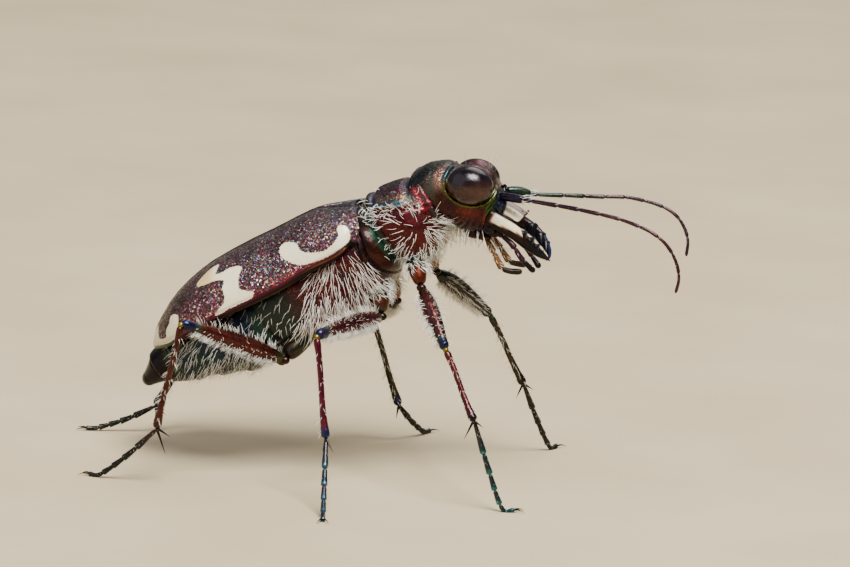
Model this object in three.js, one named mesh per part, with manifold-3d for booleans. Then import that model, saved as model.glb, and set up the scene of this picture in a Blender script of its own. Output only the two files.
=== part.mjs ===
// A tiger beetle standing on the floor, life size, in millimetres, +Z up, head towards +X.
// The trunk (thorax, abdomen, wing cases) is pitched nose up, the head is bent down from it, and six long legs
// reach the floor at one level. Every sub-part is one closed mesh, parted from its neighbours by a thin gap.
import * as THREE from "three";
import { mergeVertices } from "three/addons/utils/BufferGeometryUtils.js";
import Module from "manifold-3d";

const wasm = await Module();
wasm.setup();

const GAP = 0.2; // between neighbouring pieces
const THIN = 0.25; // radius of the thinnest limbs, apart from their tips
const SIDES = [-1, 1]; // right (the near side, -Y) and left (+Y)
const SIDE_NAME = { "-1": "right", 1: "left" };

const TRUNK_HEIGHT = 9.18; // floor to the front end of the wing cases' seam
const TRUNK_PITCH = 36; // degrees, nose up
const HEAD_AT = { x: 3.66, z: -1.56 }; // centre of the head, in the trunk's frame
const HEAD_PITCH = -43; // degrees, from the trunk's axis
const HEAD_TURN = 4; // degrees to the left
const HEAD_TILT = -6; // degrees, the left side lower

const ELYTRA_LENGTH = 8.5;
const ELYTRON_THICK = 0.5;
const ELYTRON_EDGE_THICK = 0.3;
const BASE_SWEEP = 0.35; // how far the shoulders lie behind the front end of the seam
const PROTHORAX_FROM = 0.45;
const PROTHORAX_TO = 2.42;
const ABDOMEN_FROM = -9.55;
const ABDOMEN_TO = -4.6;
const STERNITES = 6;
const EYE = { x: 0.1, y: 1.34, z: 0.18, long: 0.78, out: 0.6, high: 0.64 };

const finish = (color, roughness = 0.35, metalness = 0.6) =>
  new THREE.MeshStandardMaterial({ color, roughness, metalness });
const bronze = finish(0x4a2a33);
const copper = finish(0x5c2420);
const darkGreen = finish(0x1f2e2a);
const legRed = finish(0x5a1c1f);
const tarsusBlue = finish(0x1d3440);
const eyeGrey = finish(0x2c2524, 0.15, 0);
const cream = finish(0xe6dcc0, 0.4, 0);
const mouthBlack = finish(0x16141a, 0.25, 0.2);
const palpBrown = finish(0x6a4a22, 0.4, 0.1);

const rad = THREE.MathUtils.degToRad;
const v3 = (x, y, z) => new THREE.Vector3(x, y, z);
const power = (value, p) => Math.sign(value) * Math.abs(value) ** p;

// A smooth curve through [x, value] pairs with rising x: a width or a height along the body.
function along(...pairs) {
  const slope = (i) => {
    const a = pairs[Math.max(i - 1, 0)];
    const b = pairs[Math.min(i + 1, pairs.length - 1)];
    return (b[1] - a[1]) / (b[0] - a[0]);
  };
  return (x) => {
    let i = 0;
    while (i < pairs.length - 2 && x > pairs[i + 1][0]) i++;
    const width = pairs[i + 1][0] - pairs[i][0];
    const t = THREE.MathUtils.clamp((x - pairs[i][0]) / width, 0, 1);
    const ease = t * t * (3 - 2 * t);
    const rise = t * (1 - t) * (1 - t) * slope(i) - t * t * (1 - t) * slope(i + 1);
    return pairs[i][1] + (pairs[i + 1][1] - pairs[i][1]) * ease + rise * width;
  };
}

// A geometry from points and triangles, turned to face outwards.
function geometryFrom(points, triangles) {
  let volume = 0;
  for (let i = 0; i < triangles.length; i += 3) {
    const [a, b, c] = [0, 1, 2].map((k) => points[triangles[i + k]]);
    volume += a.dot(b.clone().cross(c));
  }
  if (volume < 0) triangles.reverse();
  const geometry = new THREE.BufferGeometry().setFromPoints(points);
  return geometry.setIndex(triangles);
}

// A closed skin over rings of points, with a fan over each end ring.
function loft(rings) {
  const count = rings[0].length;
  const points = rings.flat();
  const triangles = [];
  for (let r = 0; r < rings.length - 1; r++)
    for (let k = 0; k < count; k++) {
      const a = r * count + k;
      const b = r * count + ((k + 1) % count);
      triangles.push(a, b, a + count, b, b + count, a + count);
    }
  for (const [r, order] of [[0, -1], [rings.length - 1, 1]]) {
    const middle = rings[r].reduce((sum, p) => sum.add(p), v3(0, 0, 0)).divideScalar(count);
    points.push(middle);
    for (let k = 0; k < count; k++) {
      const a = r * count + k;
      const b = r * count + ((k + 1) % count);
      triangles.push(...(order > 0 ? [a, b, points.length - 1] : [b, a, points.length - 1]));
    }
  }
  return geometryFrom(points, triangles);
}

// A closed sheet between two grids of points with the same rows and columns.
function sheetBetween(outer, inner) {
  const rows = outer.length;
  const columns = outer[0].length;
  const points = [...outer.flat(), ...inner.flat()];
  const under = rows * columns;
  const at = (r, c) => r * columns + c;
  const triangles = [];
  const quad = (a, b, c, d) => triangles.push(a, b, c, a, c, d);
  for (let r = 0; r < rows - 1; r++)
    for (let c = 0; c < columns - 1; c++) {
      quad(at(r, c), at(r, c + 1), at(r + 1, c + 1), at(r + 1, c));
      quad(under + at(r + 1, c), under + at(r + 1, c + 1), under + at(r, c + 1), under + at(r, c));
    }
  const rim = [];
  for (let c = 0; c < columns; c++) rim.push(at(0, c));
  for (let r = 1; r < rows; r++) rim.push(at(r, columns - 1));
  for (let c = columns - 2; c >= 0; c--) rim.push(at(rows - 1, c));
  for (let r = rows - 2; r > 0; r--) rim.push(at(r, 0));
  rim.forEach((a, i) => {
    const b = rim[(i + 1) % rim.length];
    quad(b, a, under + a, under + b);
  });
  return geometryFrom(points, triangles);
}

// A point of a body section: widest at middle, with its own height above and depth below it. Angle 0 is its left side.
function sectionPoint(x, angle, { halfWidth, top, middle, bottom, roundness = 0.9, shape }) {
  const across = power(Math.cos(angle), roundness);
  const up = power(Math.sin(angle), roundness);
  const reach = up > 0 ? top(x) - middle(x) : middle(x) - bottom(x);
  const point = v3(x, halfWidth(x) * across, middle(x) + reach * up);
  return shape ? shape(point) : point;
}

const sectionRing = (x, body) =>
  Array.from({ length: body.sides }, (_, k) => sectionPoint(x, ((k + 0.5) / body.sides) * 2 * Math.PI, body));

// Stations from a to b, closer together towards both ends.
const stations = (a, b, steps) =>
  Array.from({ length: steps + 1 }, (_, i) => a + ((b - a) * (1 - Math.cos((Math.PI * i) / steps))) / 2);

// A limb along a curve: radius(t) gives its half width, flat its height over its width.
function limb(curve, radius, { rings, sides = 8, flat = 1, up = v3(0, 0, 1), from = 0, to = 1 }) {
  const shares = Array.isArray(rings) ? rings : stations(0, 1, rings);
  return loft(
    shares.map((share) => {
      const t = from + (to - from) * share;
      const centre = curve.getPoint(t);
      const ahead = curve.getTangent(t);
      const side = ahead.clone().cross(up).normalize();
      const high = side.clone().cross(ahead);
      return Array.from({ length: sides }, (_, k) => {
        const angle = ((k + 0.5) / sides) * 2 * Math.PI;
        return centre
          .clone()
          .addScaledVector(side, radius(share) * Math.cos(angle))
          .addScaledVector(high, radius(share) * flat * Math.sin(angle));
      });
    }),
  );
}

// A spine or claw: a bent cone from root to tip.
function spine(root, tip, radius, bend = v3(0, 0, 0), sides = 5) {
  const middle = root.clone().lerp(tip, 0.5).add(bend);
  const curve = new THREE.QuadraticBezierCurve3(root, middle, tip);
  const ahead = tip.clone().sub(root);
  const up = Math.abs(ahead.z) > 0.8 * ahead.length() ? v3(0, 1, 0) : v3(0, 0, 1);
  return limb(curve, (t) => radius * (1 - 0.85 * t), { rings: [0, 0.5, 1], sides, up });
}

// A lock of bristles on a body's side: flat, tapered, rooted at x and angle, lying along lie and standing off by lift.
const LOCK = { halfWidth: 0.24, halfThick: 0.17, root: 0.16, curl: 0.12 };
function lock(body, side, x, angle, lie, lift, length) {
  const mirrored = (p) => p.multiply(v3(1, side, 1));
  const step = 0.05;
  const here = sectionPoint(x, angle, body);
  const ahead = sectionPoint(x + step, angle, body).sub(here);
  const round = sectionPoint(x, angle + step, body).sub(here);
  const out = ahead.cross(round).normalize();
  const flat = lie.clone().addScaledVector(out, -lie.dot(out)).normalize();
  const heading = flat.clone().multiplyScalar(Math.cos(lift)).addScaledVector(out, Math.sin(lift));
  const across = out.clone().cross(flat);
  const rings = [[-LOCK.root, 1], [0.5, 0.85], [0.8, 0.5], [1, 0.12]].map(([share, wide], i) => {
    const centre = here.clone().addScaledVector(heading, share * length);
    centre.addScaledVector(out, i ? -LOCK.curl * share * share * length : LOCK.root * -0.6);
    const raised = heading.clone().cross(across).negate();
    return [[1, 0], [0, 1], [-1, 0], [0, -1]].map(([a, b]) =>
      mirrored(centre.clone()
        .addScaledVector(across, a * wide * LOCK.halfWidth)
        .addScaledVector(raised, b * wide * LOCK.halfThick)));
  });
  return loft(rings);
}

// Manifold solids, for joining and cutting.
function solidOf(geometry, matrix = new THREE.Matrix4()) {
  const bare = new THREE.BufferGeometry();
  bare.setAttribute("position", geometry.getAttribute("position").clone());
  if (geometry.index) bare.setIndex(geometry.index.clone());
  const merged = mergeVertices(bare.applyMatrix4(matrix), 1e-5);
  return new wasm.Manifold(
    new wasm.Mesh({
      numProp: 3,
      vertProperties: merged.attributes.position.array,
      triVerts: new Uint32Array(merged.index.array),
    }),
  );
}

function geometryOf(solid) {
  const { vertProperties, triVerts } = solid.getMesh();
  const geometry = new THREE.BufferGeometry();
  geometry.setAttribute("position", new THREE.BufferAttribute(vertProperties, 3));
  geometry.setIndex(new THREE.BufferAttribute(triVerts, 1));
  return geometry;
}

// Joins closed geometries and keeps the largest closed surface.
function unite(...geometries) {
  const joined = geometries.map((g) => solidOf(g)).reduce((sum, s) => sum.add(s));
  return geometryOf(largest(joined));
}

const largest = (solid) => solid.decompose().reduce((a, b) => (a.volume() >= b.volume() ? a : b));

// A body with its locks fused on, where these are clear of the spaces its neighbours need.
function dressed(body, locks, spaces) {
  const coat = locks.map((piece) => solidOf(piece)).reduce((sum, piece) => sum.add(piece));
  const clear = spaces.reduce((solid, space) => solid.subtract(solidOf(space)), coat);
  return geometryOf(largest(solidOf(body).add(clear)));
}

const cutAway = (geometry, ...cutters) =>
  geometryOf(largest(cutters.reduce((solid, c) => solid.subtract(solidOf(c)), solidOf(geometry))));

function ellipsoid(centre, semi, across = 16, down = 10) {
  const ball = new THREE.SphereGeometry(1, across, down);
  return ball.scale(semi.x, semi.y, semi.z).translate(centre.x, centre.y, centre.z);
}

function add(group, name, geometry, material) {
  const mesh = new THREE.Mesh(geometry, material);
  mesh.name = name;
  group.add(mesh);
  return mesh;
}

const beetle = new THREE.Group();
const trunk = new THREE.Group();
trunk.position.z = TRUNK_HEIGHT;
trunk.rotation.y = -rad(TRUNK_PITCH);
beetle.add(trunk);
const head = new THREE.Group();
head.position.set(HEAD_AT.x, 0, HEAD_AT.z);
head.rotation.set(rad(HEAD_TILT), -rad(HEAD_PITCH), rad(HEAD_TURN), "YXZ");
trunk.add(head);

// Wing cases. x runs back from the front end of the seam at 0 to the tip at -ELYTRA_LENGTH.
const elytraTop = along([-8.5, -0.39], [-7.8, 0.17], [-6.8, 0.62], [-5.45, 0.87], [-4.3, 0.85], [-2.88, 0.72],
  [-1.57, 0.6], [-1, 0.47], [-0.5, 0.23], [0, 0]);
const elytraMargin = along([-8.5, -0.5], [-7.4, -0.65], [-5.4, -0.7], [-4.0, -0.86], [-3.1, -0.94], [-1.8, -0.98],
  [-1.2, -1.05], [-0.6, -1.07], [0, -1.0]);
const elytraHalfWidth = along([-8.5, 0.22], [-8.2, 0.95], [-7.6, 1.65], [-6.6, 2.22], [-5.2, 2.47], [-3.8, 2.42],
  [-2.2, 2.28], [-1, 2.16], [-0.35, 2.02], [0, 1.8]);

// The scutellum, the small triangle between the wing cases' front ends.
const SCUTELLUM = { front: 0.02, back: -0.85, halfWidth: 0.42, stands: 0.08, deep: 0.3 };
const NOTCH_FROM = SCUTELLUM.back - 2 * GAP;
const notchSlope = (SCUTELLUM.halfWidth + GAP) / (SCUTELLUM.front - NOTCH_FROM);
const seamAt = (x) => GAP / 2 + notchSlope * Math.max(0, x - NOTCH_FROM);

function scutellum() {
  const { front, back, halfWidth, stands, deep } = SCUTELLUM;
  const corners = [[front, halfWidth], [front, -halfWidth], [back, 0]];
  const ring = (lift) => corners.map(([x, y]) => v3(x, y, elytraTop(x) + lift));
  return loft([ring(-deep), ring(stands)]);
}
add(trunk, "scutellum", scutellum(), bronze);

// One row of a wing case from the seam to the margin, set in from the outer surface at the top and at the edge.
function elytronRow(x, side, inset, edgeInset) {
  const columns = 10;
  const seam = seamAt(x);
  const half = elytraHalfWidth(x);
  const margin = elytraMargin(x);
  const room = Math.min(1, (elytraTop(x) - margin) / 0.9, (half - seam) / 0.9);
  const top = elytraTop(x) - inset * room;
  const wide = half - edgeInset * room;
  return Array.from({ length: columns + 1 }, (_, c) => {
    const angle = (c / columns) * (Math.PI / 2);
    const y = seam + (wide - seam) * power(Math.sin(angle), 0.88);
    const z = margin + (top - margin) * power(Math.cos(angle), 0.88);
    const sweep = BASE_SWEEP * (y / half) ** 2 * Math.max(0, 1 + x / 2);
    return v3(x - sweep, side * y, z);
  });
}

function elytron(side) {
  const rows = stations(-ELYTRA_LENGTH, 0, 24);
  const outer = rows.map((x) => elytronRow(x, side, 0, 0));
  const inner = rows.map((x) => elytronRow(x, side, ELYTRON_THICK, ELYTRON_EDGE_THICK));
  return sheetBetween(outer, inner);
}
for (const side of SIDES) add(trunk, `elytron_${SIDE_NAME[side]}`, elytron(side), bronze);

// The abdomen, tucked under the wing cases, with a step at each belly plate.
const abdomenBottom = along([-9.55, -1.3], [-9.3, -1.46], [-8.7, -1.74], [-8.1, -2.12], [-7.4, -2.32], [-6.7, -2.6],
  [-5.7, -3.0], [-5.0, -3.1], [-4.6, -3.05]);
const abdomenTop = along([-9.55, -1.15], [-9.3, -0.98], [-8.75, -0.86], [-8.4, -0.8], [-7.8, -0.5], [-6.8, -0.08],
  [-5.45, 0.12], [-4.6, 0.1]);
const abdomenHalfWidth = along([-9.55, 0.25], [-9.3, 0.5], [-8.75, 0.78], [-8.2, 1.0], [-7.6, 1.35], [-6.6, 1.78],
  [-5.4, 1.95], [-4.6, 1.95]);
const abdomenMiddle = along([-9.55, -1.22], [-8.4, -1.25], [-7.4, -1.35], [-5.5, -1.5], [-4.6, -1.5]);

const abdomenShape = {
  halfWidth: abdomenHalfWidth, top: abdomenTop, middle: abdomenMiddle, bottom: abdomenBottom, sides: 22,
};
function abdomen() {
  const length = ABDOMEN_TO - ABDOMEN_FROM;
  const rings = [];
  for (let s = 0; s < STERNITES; s++)
    for (const share of [0.02, 0.5, 0.98]) {
      const x = ABDOMEN_TO - (length * (s + share)) / STERNITES;
      const step = s > 0 && share < 0.1 ? 0.05 : 0;
      const shape = (p) => v3(p.x, p.y * (1 - step * 0.5), p.z + (p.z < -1.5 ? step : 0));
      rings.push(sectionRing(x, { ...abdomenShape, shape }));
    }
  return loft(rings);
}
add(trunk, "abdomen", abdomen(), darkGreen);

// The middle and hind thorax in one, partly under the wing cases.
const pterothorax = {
  halfWidth: along([-4.4, 1.7], [-4.1, 1.86], [-3, 1.93], [-1.5, 1.88], [-0.6, 1.74], [0, 1.5], [0.25, 1.25]),
  top: along([-4.4, 0.05], [-4.1, 0.08], [-2.88, 0], [-1.57, -0.13], [-1, -0.25], [-0.5, -0.48], [0, -0.73], [0.25, -0.85]),
  middle: along([-4.4, -1.5], [-1, -1.45], [0.25, -1.5]),
  bottom: along([-4.4, -2.9], [-4.1, -3.05], [-3, -3.25], [-1.8, -3.3], [-0.8, -3.12], [0, -2.78], [0.25, -2.45]),
  sides: 20,
};
const pterothoraxBody = loft(stations(-4.4, 0.25, 11).map((x) => sectionRing(x, pterothorax)));

// A body section grown by the gap all round, to cut what stands against it.
const grown = (shape, from, to) => {
  const wider = {
    ...shape,
    halfWidth: (x) => shape.halfWidth(x) + GAP,
    top: (x) => shape.top(x) + GAP,
    bottom: (x) => shape.bottom(x) - GAP,
  };
  return loft(stations(from, to, 11).map((x) => sectionRing(x, wider)));
};

// The prothorax: the pronotum's disc above, pinched by a groove near each end, and the swollen sides below.
const prothoraxShape = {
  halfWidth: along([0.45, 1.26], [0.6, 1.4], [1.0, 1.58], [1.5, 1.64], [2.0, 1.5], [2.3, 1.32], [2.42, 1.22]),
  top: along([0.45, -0.05], [0.6, 0.02], [0.8, -0.08], [1.0, 0.0], [1.45, -0.07], [1.83, -0.17], [2.0, -0.3],
    [2.2, -0.2], [2.42, -0.22]),
  middle: along([0.45, -1.3], [2.42, -1.35]),
  bottom: along([0.45, -2.5], [0.7, -2.78], [1.3, -2.95], [1.9, -2.8], [2.2, -2.6], [2.42, -2.3]),
  roundness: 0.86,
  sides: 22,
};
const prothoraxStations = [PROTHORAX_FROM, 0.6, 0.72, 0.82, 1.0, 1.3, 1.6, 1.83, 2.0, 2.14, 2.3, PROTHORAX_TO];
const prothoraxBody = loft(prothoraxStations.map((x) => sectionRing(x, prothoraxShape)));

// The head. Its back is cut to face the prothorax, and its sides are hollowed for the eyes.
const headShape = {
  halfWidth: along([-1.95, 1.0], [-1.6, 1.16], [-0.9, 1.26], [-0.2, 1.22], [0.5, 1.12], [0.95, 0.98], [1.25, 0.76]),
  top: along([-1.95, 0.05], [-1.6, 0.42], [-1.27, 0.6], [-0.89, 0.71], [-0.48, 0.72], [-0.15, 0.84], [0.13, 0.93],
    [0.45, 0.9], [0.72, 0.74], [1.05, 0.27], [1.25, -0.12]),
  middle: along([-1.95, -0.3], [-0.5, -0.25], [0.6, -0.25], [1.25, -0.45]),
  bottom: along([-1.95, -0.7], [-1.2, -1.15], [-0.5, -1.36], [0.2, -1.48], [0.8, -1.44], [1.1, -1.15], [1.25, -0.9]),
  roundness: 0.8,
  sides: 24,
  shape: (p) => {
    const between = Math.max(0, 1 - (p.y / 0.95) ** 2);
    const here = Math.max(0, 1 - ((p.x - 0.25) / 0.95) ** 2);
    return v3(p.x, p.y, p.z > 0 ? p.z - 0.22 * between * here : p.z);
  },
};
const eyeBall = (side, grow, across, down) =>
  ellipsoid(v3(EYE.x, side * EYE.y, EYE.z), v3(EYE.long + grow, EYE.out + grow, EYE.high + grow), across, down);

head.updateMatrix();
const thoraxSide = new THREE.BoxGeometry(6, 8, 8).translate(PROTHORAX_TO + GAP - 3, 0, -1);
thoraxSide.applyMatrix4(head.matrix.clone().invert());
const mentum = loft(
  [0.1, 0.3, 0.75, 0.95].map((x, i) =>
    [[-0.45, -1.2], [0.45, -1.2], [0.38, -1.68], [-0.38, -1.68]].map(([y, z]) => v3(x, y, z + (i % 3 ? 0 : 0.12))),
  ),
);
const skull = unite(loft(stations(-1.95, 1.25, 16).map((x) => sectionRing(x, headShape))), mentum);
add(head, "head", cutAway(skull, thoraxSide, ...SIDES.map((side) => eyeBall(side, GAP, 18, 12))), copper);
for (const side of SIDES) add(head, `eye_${SIDE_NAME[side]}`, eyeBall(side, 0, 18, 12), eyeGrey);

// The labrum, a cream plate with three teeth on its front edge, arched from side to side.
function labrum() {
  const { long, halfWidth, thick } = { long: 0.66, halfWidth: 0.86, thick: 0.3 };
  const outline = new THREE.Shape();
  outline.moveTo(0, -halfWidth);
  outline.lineTo(long * 0.75, -halfWidth * 0.82);
  outline.lineTo(long * 0.98, -halfWidth * 0.42);
  outline.lineTo(long, -halfWidth * 0.14);
  outline.lineTo(long + 0.16, 0);
  outline.lineTo(long, halfWidth * 0.14);
  outline.lineTo(long * 0.98, halfWidth * 0.42);
  outline.lineTo(long * 0.75, halfWidth * 0.82);
  outline.lineTo(0, halfWidth);
  const plate = new THREE.ExtrudeGeometry(outline, { depth: thick, bevelEnabled: false });
  const place = plate.getAttribute("position");
  for (let i = 0; i < place.count; i++) place.setZ(i, place.getZ(i) - 0.42 * place.getY(i) ** 2);
  return plate;
}
const labrumMesh = add(head, "labrum", labrum(), cream);
labrumMesh.position.set(1.4, 0, -0.48);
labrumMesh.rotation.y = rad(14);

// Sickle-shaped mandibles, half open, with three teeth along the inner edge.
const mandiblePath = {
  right: [[1.02, 1.0, -0.86], [1.4, 1.08, -1.08], [1.9, 0.98, -1.32], [2.45, 0.62, -1.62], [2.93, 0.17, -1.92]],
  left: [[1.02, 1.0, -0.86], [1.45, 1.05, -0.94], [1.95, 0.98, -1.04], [2.45, 0.8, -1.3], [2.8, 0.5, -1.6], [3.03, 0.17, -1.9]],
};
function mandible(side) {
  const curve = new THREE.CatmullRomCurve3(mandiblePath[SIDE_NAME[side]].map(([x, y, z]) => v3(x, side * y, z)));
  const radius = along([0, 0.26], [0.3, 0.3], [0.6, 0.22], [0.85, 0.14], [1, 0.05]);
  const blade = limb(curve, radius, { rings: [0, 0.15, 0.3, 0.45, 0.6, 0.72, 0.84, 0.93, 1], sides: 8 });
  const teeth = [0.4, 0.56, 0.72].map((t, i) => {
    const root = curve.getPoint(t);
    const inward = v3(0.5, -side, -0.1).normalize();
    return spine(root, root.clone().addScaledVector(inward, 0.5 - 0.06 * i), 0.13);
  });
  return unite(blade, ...teeth);
}
for (const side of SIDES) add(head, `mandible_${SIDE_NAME[side]}`, mandible(side), mouthBlack);

// A feeler made of segments, each widest at its far end. ends lists the shares of its length where they end.
function segmented(curve, ends, radius, options) {
  const rings = [0];
  const swell = [0.8];
  let start = 0;
  ends.forEach((end, i) => {
    const long = end - start;
    rings.push(start + 0.55 * long, start + 0.92 * long);
    swell.push(0.9, 1.12);
    if (i < ends.length - 1) {
      rings.push(end);
      swell.push(0.78);
    }
    start = end;
  });
  rings.push(1);
  swell.push(0.6);
  const shape = (share) => radius(share) * swell[rings.indexOf(share)];
  return limb(curve, shape, { rings, ...options });
}

// Palps: the outer pair is the maxillae's, the inner pair the labium's.
const palps = {
  maxillary_palp: {
    right: [[1.3, 0.7, -1.56], [1.8, 0.76, -1.9], [2.25, 0.82, -2.1], [2.74, 0.86, -2.36]],
    left: [[1.3, 0.7, -1.56], [1.85, 0.76, -1.8], [2.32, 0.82, -2.06], [2.78, 0.86, -2.4]],
  },
  labial_palp: {
    right: [[1.14, 0.35, -1.86], [1.32, 0.38, -2.14], [1.62, 0.38, -2.44], [2.26, 0.34, -2.58]],
    left: [[1.14, 0.35, -1.86], [1.36, 0.38, -2.1], [1.72, 0.38, -2.36], [2.3, 0.34, -2.44]],
  },
};
for (const [kind, pair] of Object.entries(palps))
  for (const side of SIDES) {
    const curve = new THREE.CatmullRomCurve3(pair[SIDE_NAME[side]].map(([x, y, z]) => v3(x, side * y, z)));
    const radius = along([0, 0.2], [0.5, 0.21], [1, 0.2]);
    const palp = segmented(curve, [0.3, 0.62, 1], radius, { sides: 7 });
    add(head, `${kind}_${SIDE_NAME[side]}`, palp, kind === "labial_palp" ? palpBrown : mouthBlack);
  }

// Antennae of eleven segments: the thick scape, then the flagellum in two lengths that droop at the end.
const antennaPath = {
  right: [[1.26, 0.66, -0.04], [2.0, 0.9, 0], [3.38, 1.3, 0.07], [4.36, 1.6, 0.09], [5.18, 1.8, 0.07], [5.87, 2, -0.02],
    [6.4, 2.1, -0.16], [6.9, 2.1, -0.46], [7.29, 2.1, -0.93], [7.48, 2, -1.46], [7.46, 1.9, -1.98]],
  left: [[1.26, 0.66, 0.02], [2.07, 0.9, 0.06], [3.35, 1.3, 0.2], [4.2, 1.6, 0.3], [5.06, 1.8, 0.4], [5.74, 2, 0.41],
    [6.3, 2.1, 0.33], [6.78, 2.1, 0.13], [7.14, 2.1, -0.18], [7.38, 2, -0.62], [7.43, 1.9, -1.15]],
};
for (const side of SIDES) {
  const points = antennaPath[SIDE_NAME[side]].map(([x, y, z]) => v3(x, side * y, z));
  const curve = new THREE.CatmullRomCurve3(points);
  const length = curve.getLength();
  const scapeEnd = 0.1;
  const elbow = 0.52;
  const gap = GAP / length;
  const byLength = { getPoint: (t) => curve.getPointAt(t), getTangent: (t) => curve.getTangentAt(t) };
  const scape = limb(byLength, along([0, 0.2], [0.3, 0.27], [0.8, 0.29], [1, 0.18]), { rings: 5, from: 0, to: scapeEnd });
  const base = segmented(byLength, [0.12, 0.36, 0.58, 0.79, 1], along([0, 0.24], [1, 0.25]), {
    sides: 7, from: scapeEnd + gap, to: elbow,
  });
  const tip = segmented(byLength, [0.2, 0.4, 0.6, 0.8, 1], along([0, 0.25], [0.7, 0.22], [1, 0.15]), {
    sides: 7, from: elbow + gap, to: 1,
  });
  const name = SIDE_NAME[side];
  add(head, `antenna_scape_${name}`, scape, tarsusBlue);
  add(head, `antenna_middle_${name}`, base, legRed);
  add(head, `antenna_tip_${name}`, tip, legRed);
}

// Legs. Joints are in the beetle's own frame, before it is centred; y is out from the middle on either side.
const legs = {
  front: {
    right: { hip: [2.66, 1.4, 6.78], knee: [3.84, 3.1, 5.18], ankle: [5.07, 4.0, 3.02], toe: [6.5, 3.7, 0] },
    left: { hip: [2.66, 1.4, 6.78], knee: [4.22, 3.2, 5.08], ankle: [5.37, 4.0, 2.56], toe: [6.3, 5.9, 0] },
    coxaRoot: [1.05, 0.7, -2.2],
    coxaRadius: 0.34,
    thick: 0.33,
  },
  middle: {
    right: { hip: [1.34, 1.35, 5.7], knee: [-0.32, 4.0, 5.47], ankle: [0.31, 4.9, 2.22], toe: [0.75, 7.2, 0] },
    left: { hip: [1.34, 1.35, 5.7], knee: [0.0, 3.95, 4.6], ankle: [0.98, 4.7, 1.3], toe: [1.75, 6.6, 0] },
    coxaRoot: [-0.5, 0.6, -2.3],
    coxaRadius: 0.42,
    thick: 0.33,
  },
  hind: {
    right: { hip: [-1.85, 1.55, 4.0], knee: [-4.97, 3.6, 5.42], ankle: [-5.55, 4.2, 1.9], toe: [-7.9, 3.7, 0] },
    left: { hip: [-1.85, 1.55, 4.0], knee: [-5.2, 3.5, 4.3], ankle: [-7.2, 3.1, 0.95], toe: [-9.5, 2.7, 0] },
    coxaRoot: [-3.3, 0.4, -2.6],
    coxaRadius: 0.45,
    thick: 0.34,
  },
};

// A mesh built along +X from 0, laid from one joint to the next with a gap left at each end.
function layBetween(mesh, from, to) {
  const ahead = to.clone().sub(from).normalize();
  const side = v3(0, 0, 1).cross(ahead).normalize();
  const up = ahead.clone().cross(side);
  mesh.quaternion.setFromRotationMatrix(new THREE.Matrix4().makeBasis(ahead, side, up));
  mesh.position.copy(from);
}

const lineX = (from, to) => new THREE.LineCurve3(v3(from, 0, 0), v3(to, 0, 0));

// A spindle-shaped femur with a rounded knee.
function femur(length, thick) {
  const radius = along([0, 0.18], [0.08, 0.27], [0.35, thick], [0.75, 0.29], [0.9, 0.27], [0.97, 0.27], [1, 0.16]);
  return limb(lineX(0, length), radius, { rings: [0, 0.06, 0.15, 0.35, 0.6, 0.8, 0.9, 0.97, 1], sides: 10, flat: 1.12 });
}

// A straight tibia that widens to its far end, with two spurs there.
function tibia(length) {
  const radius = along([0, 0.2], [0.06, THIN], [0.7, THIN], [0.94, 0.3], [1, 0.2]);
  const shaft = limb(lineX(0, length), radius, { rings: [0, 0.05, 0.35, 0.7, 0.9, 0.96, 1], sides: 8 });
  const spurs = [-1, 1].map((way) =>
    spine(v3(length - 0.22, way * 0.1, -0.05), v3(length + 0.35, way * 0.62, -0.45), 0.14));
  return unite(shaft, ...spurs);
}

// A tarsus of five segments from the ankle down to the floor, with two claws; its end has a small flat sole.
function tarsus(ankle, toe) {
  const reach = toe.clone().sub(ankle);
  const level = v3(reach.x, reach.y, 0).normalize();
  const sole = toe.clone().addScaledVector(level, -0.42).setZ(0.24);
  const curve = new THREE.CatmullRomCurve3([
    ankle,
    ankle.clone().lerp(sole, 0.5).addScaledVector(v3(0, 0, 1), -0.03 * reach.length()),
    sole,
    toe.clone().setZ(0.2),
  ]);
  const radius = along([0, 0.22], [0.6, 0.22], [1, 0.21]);
  const up = v3(level.y, -level.x, 0);
  const foot = segmented(curve, [0.3, 0.5, 0.66, 0.8, 1], radius, { sides: 8, up, from: 0.04 });
  const claws = [-1, 1].map((way) => {
    const root = toe.clone().addScaledVector(level, -0.12).setZ(0.2);
    const tip = toe.clone().addScaledVector(level, 0.4).addScaledVector(up, way * 0.3).setZ(0.07);
    return spine(root, tip, 0.13, v3(0, 0, 0.14));
  });
  const floor = new THREE.BoxGeometry(4, 4, 2).translate(toe.x, toe.y, -1);
  return cutAway(unite(foot, ...claws), floor);
}

// What each coxa, and the coat, stands against.
const prothoraxSpace = grown(prothoraxShape, PROTHORAX_FROM - GAP, PROTHORAX_TO + GAP);
const pterothoraxSpace = grown(pterothorax, -4.6, 0.45);
const abdomenSpace = grown(abdomenShape, ABDOMEN_FROM, ABDOMEN_TO + GAP);
const sockets = {
  front: [prothoraxSpace],
  middle: [pterothoraxSpace, prothoraxSpace],
  hind: [pterothoraxSpace, abdomenSpace],
};

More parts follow.
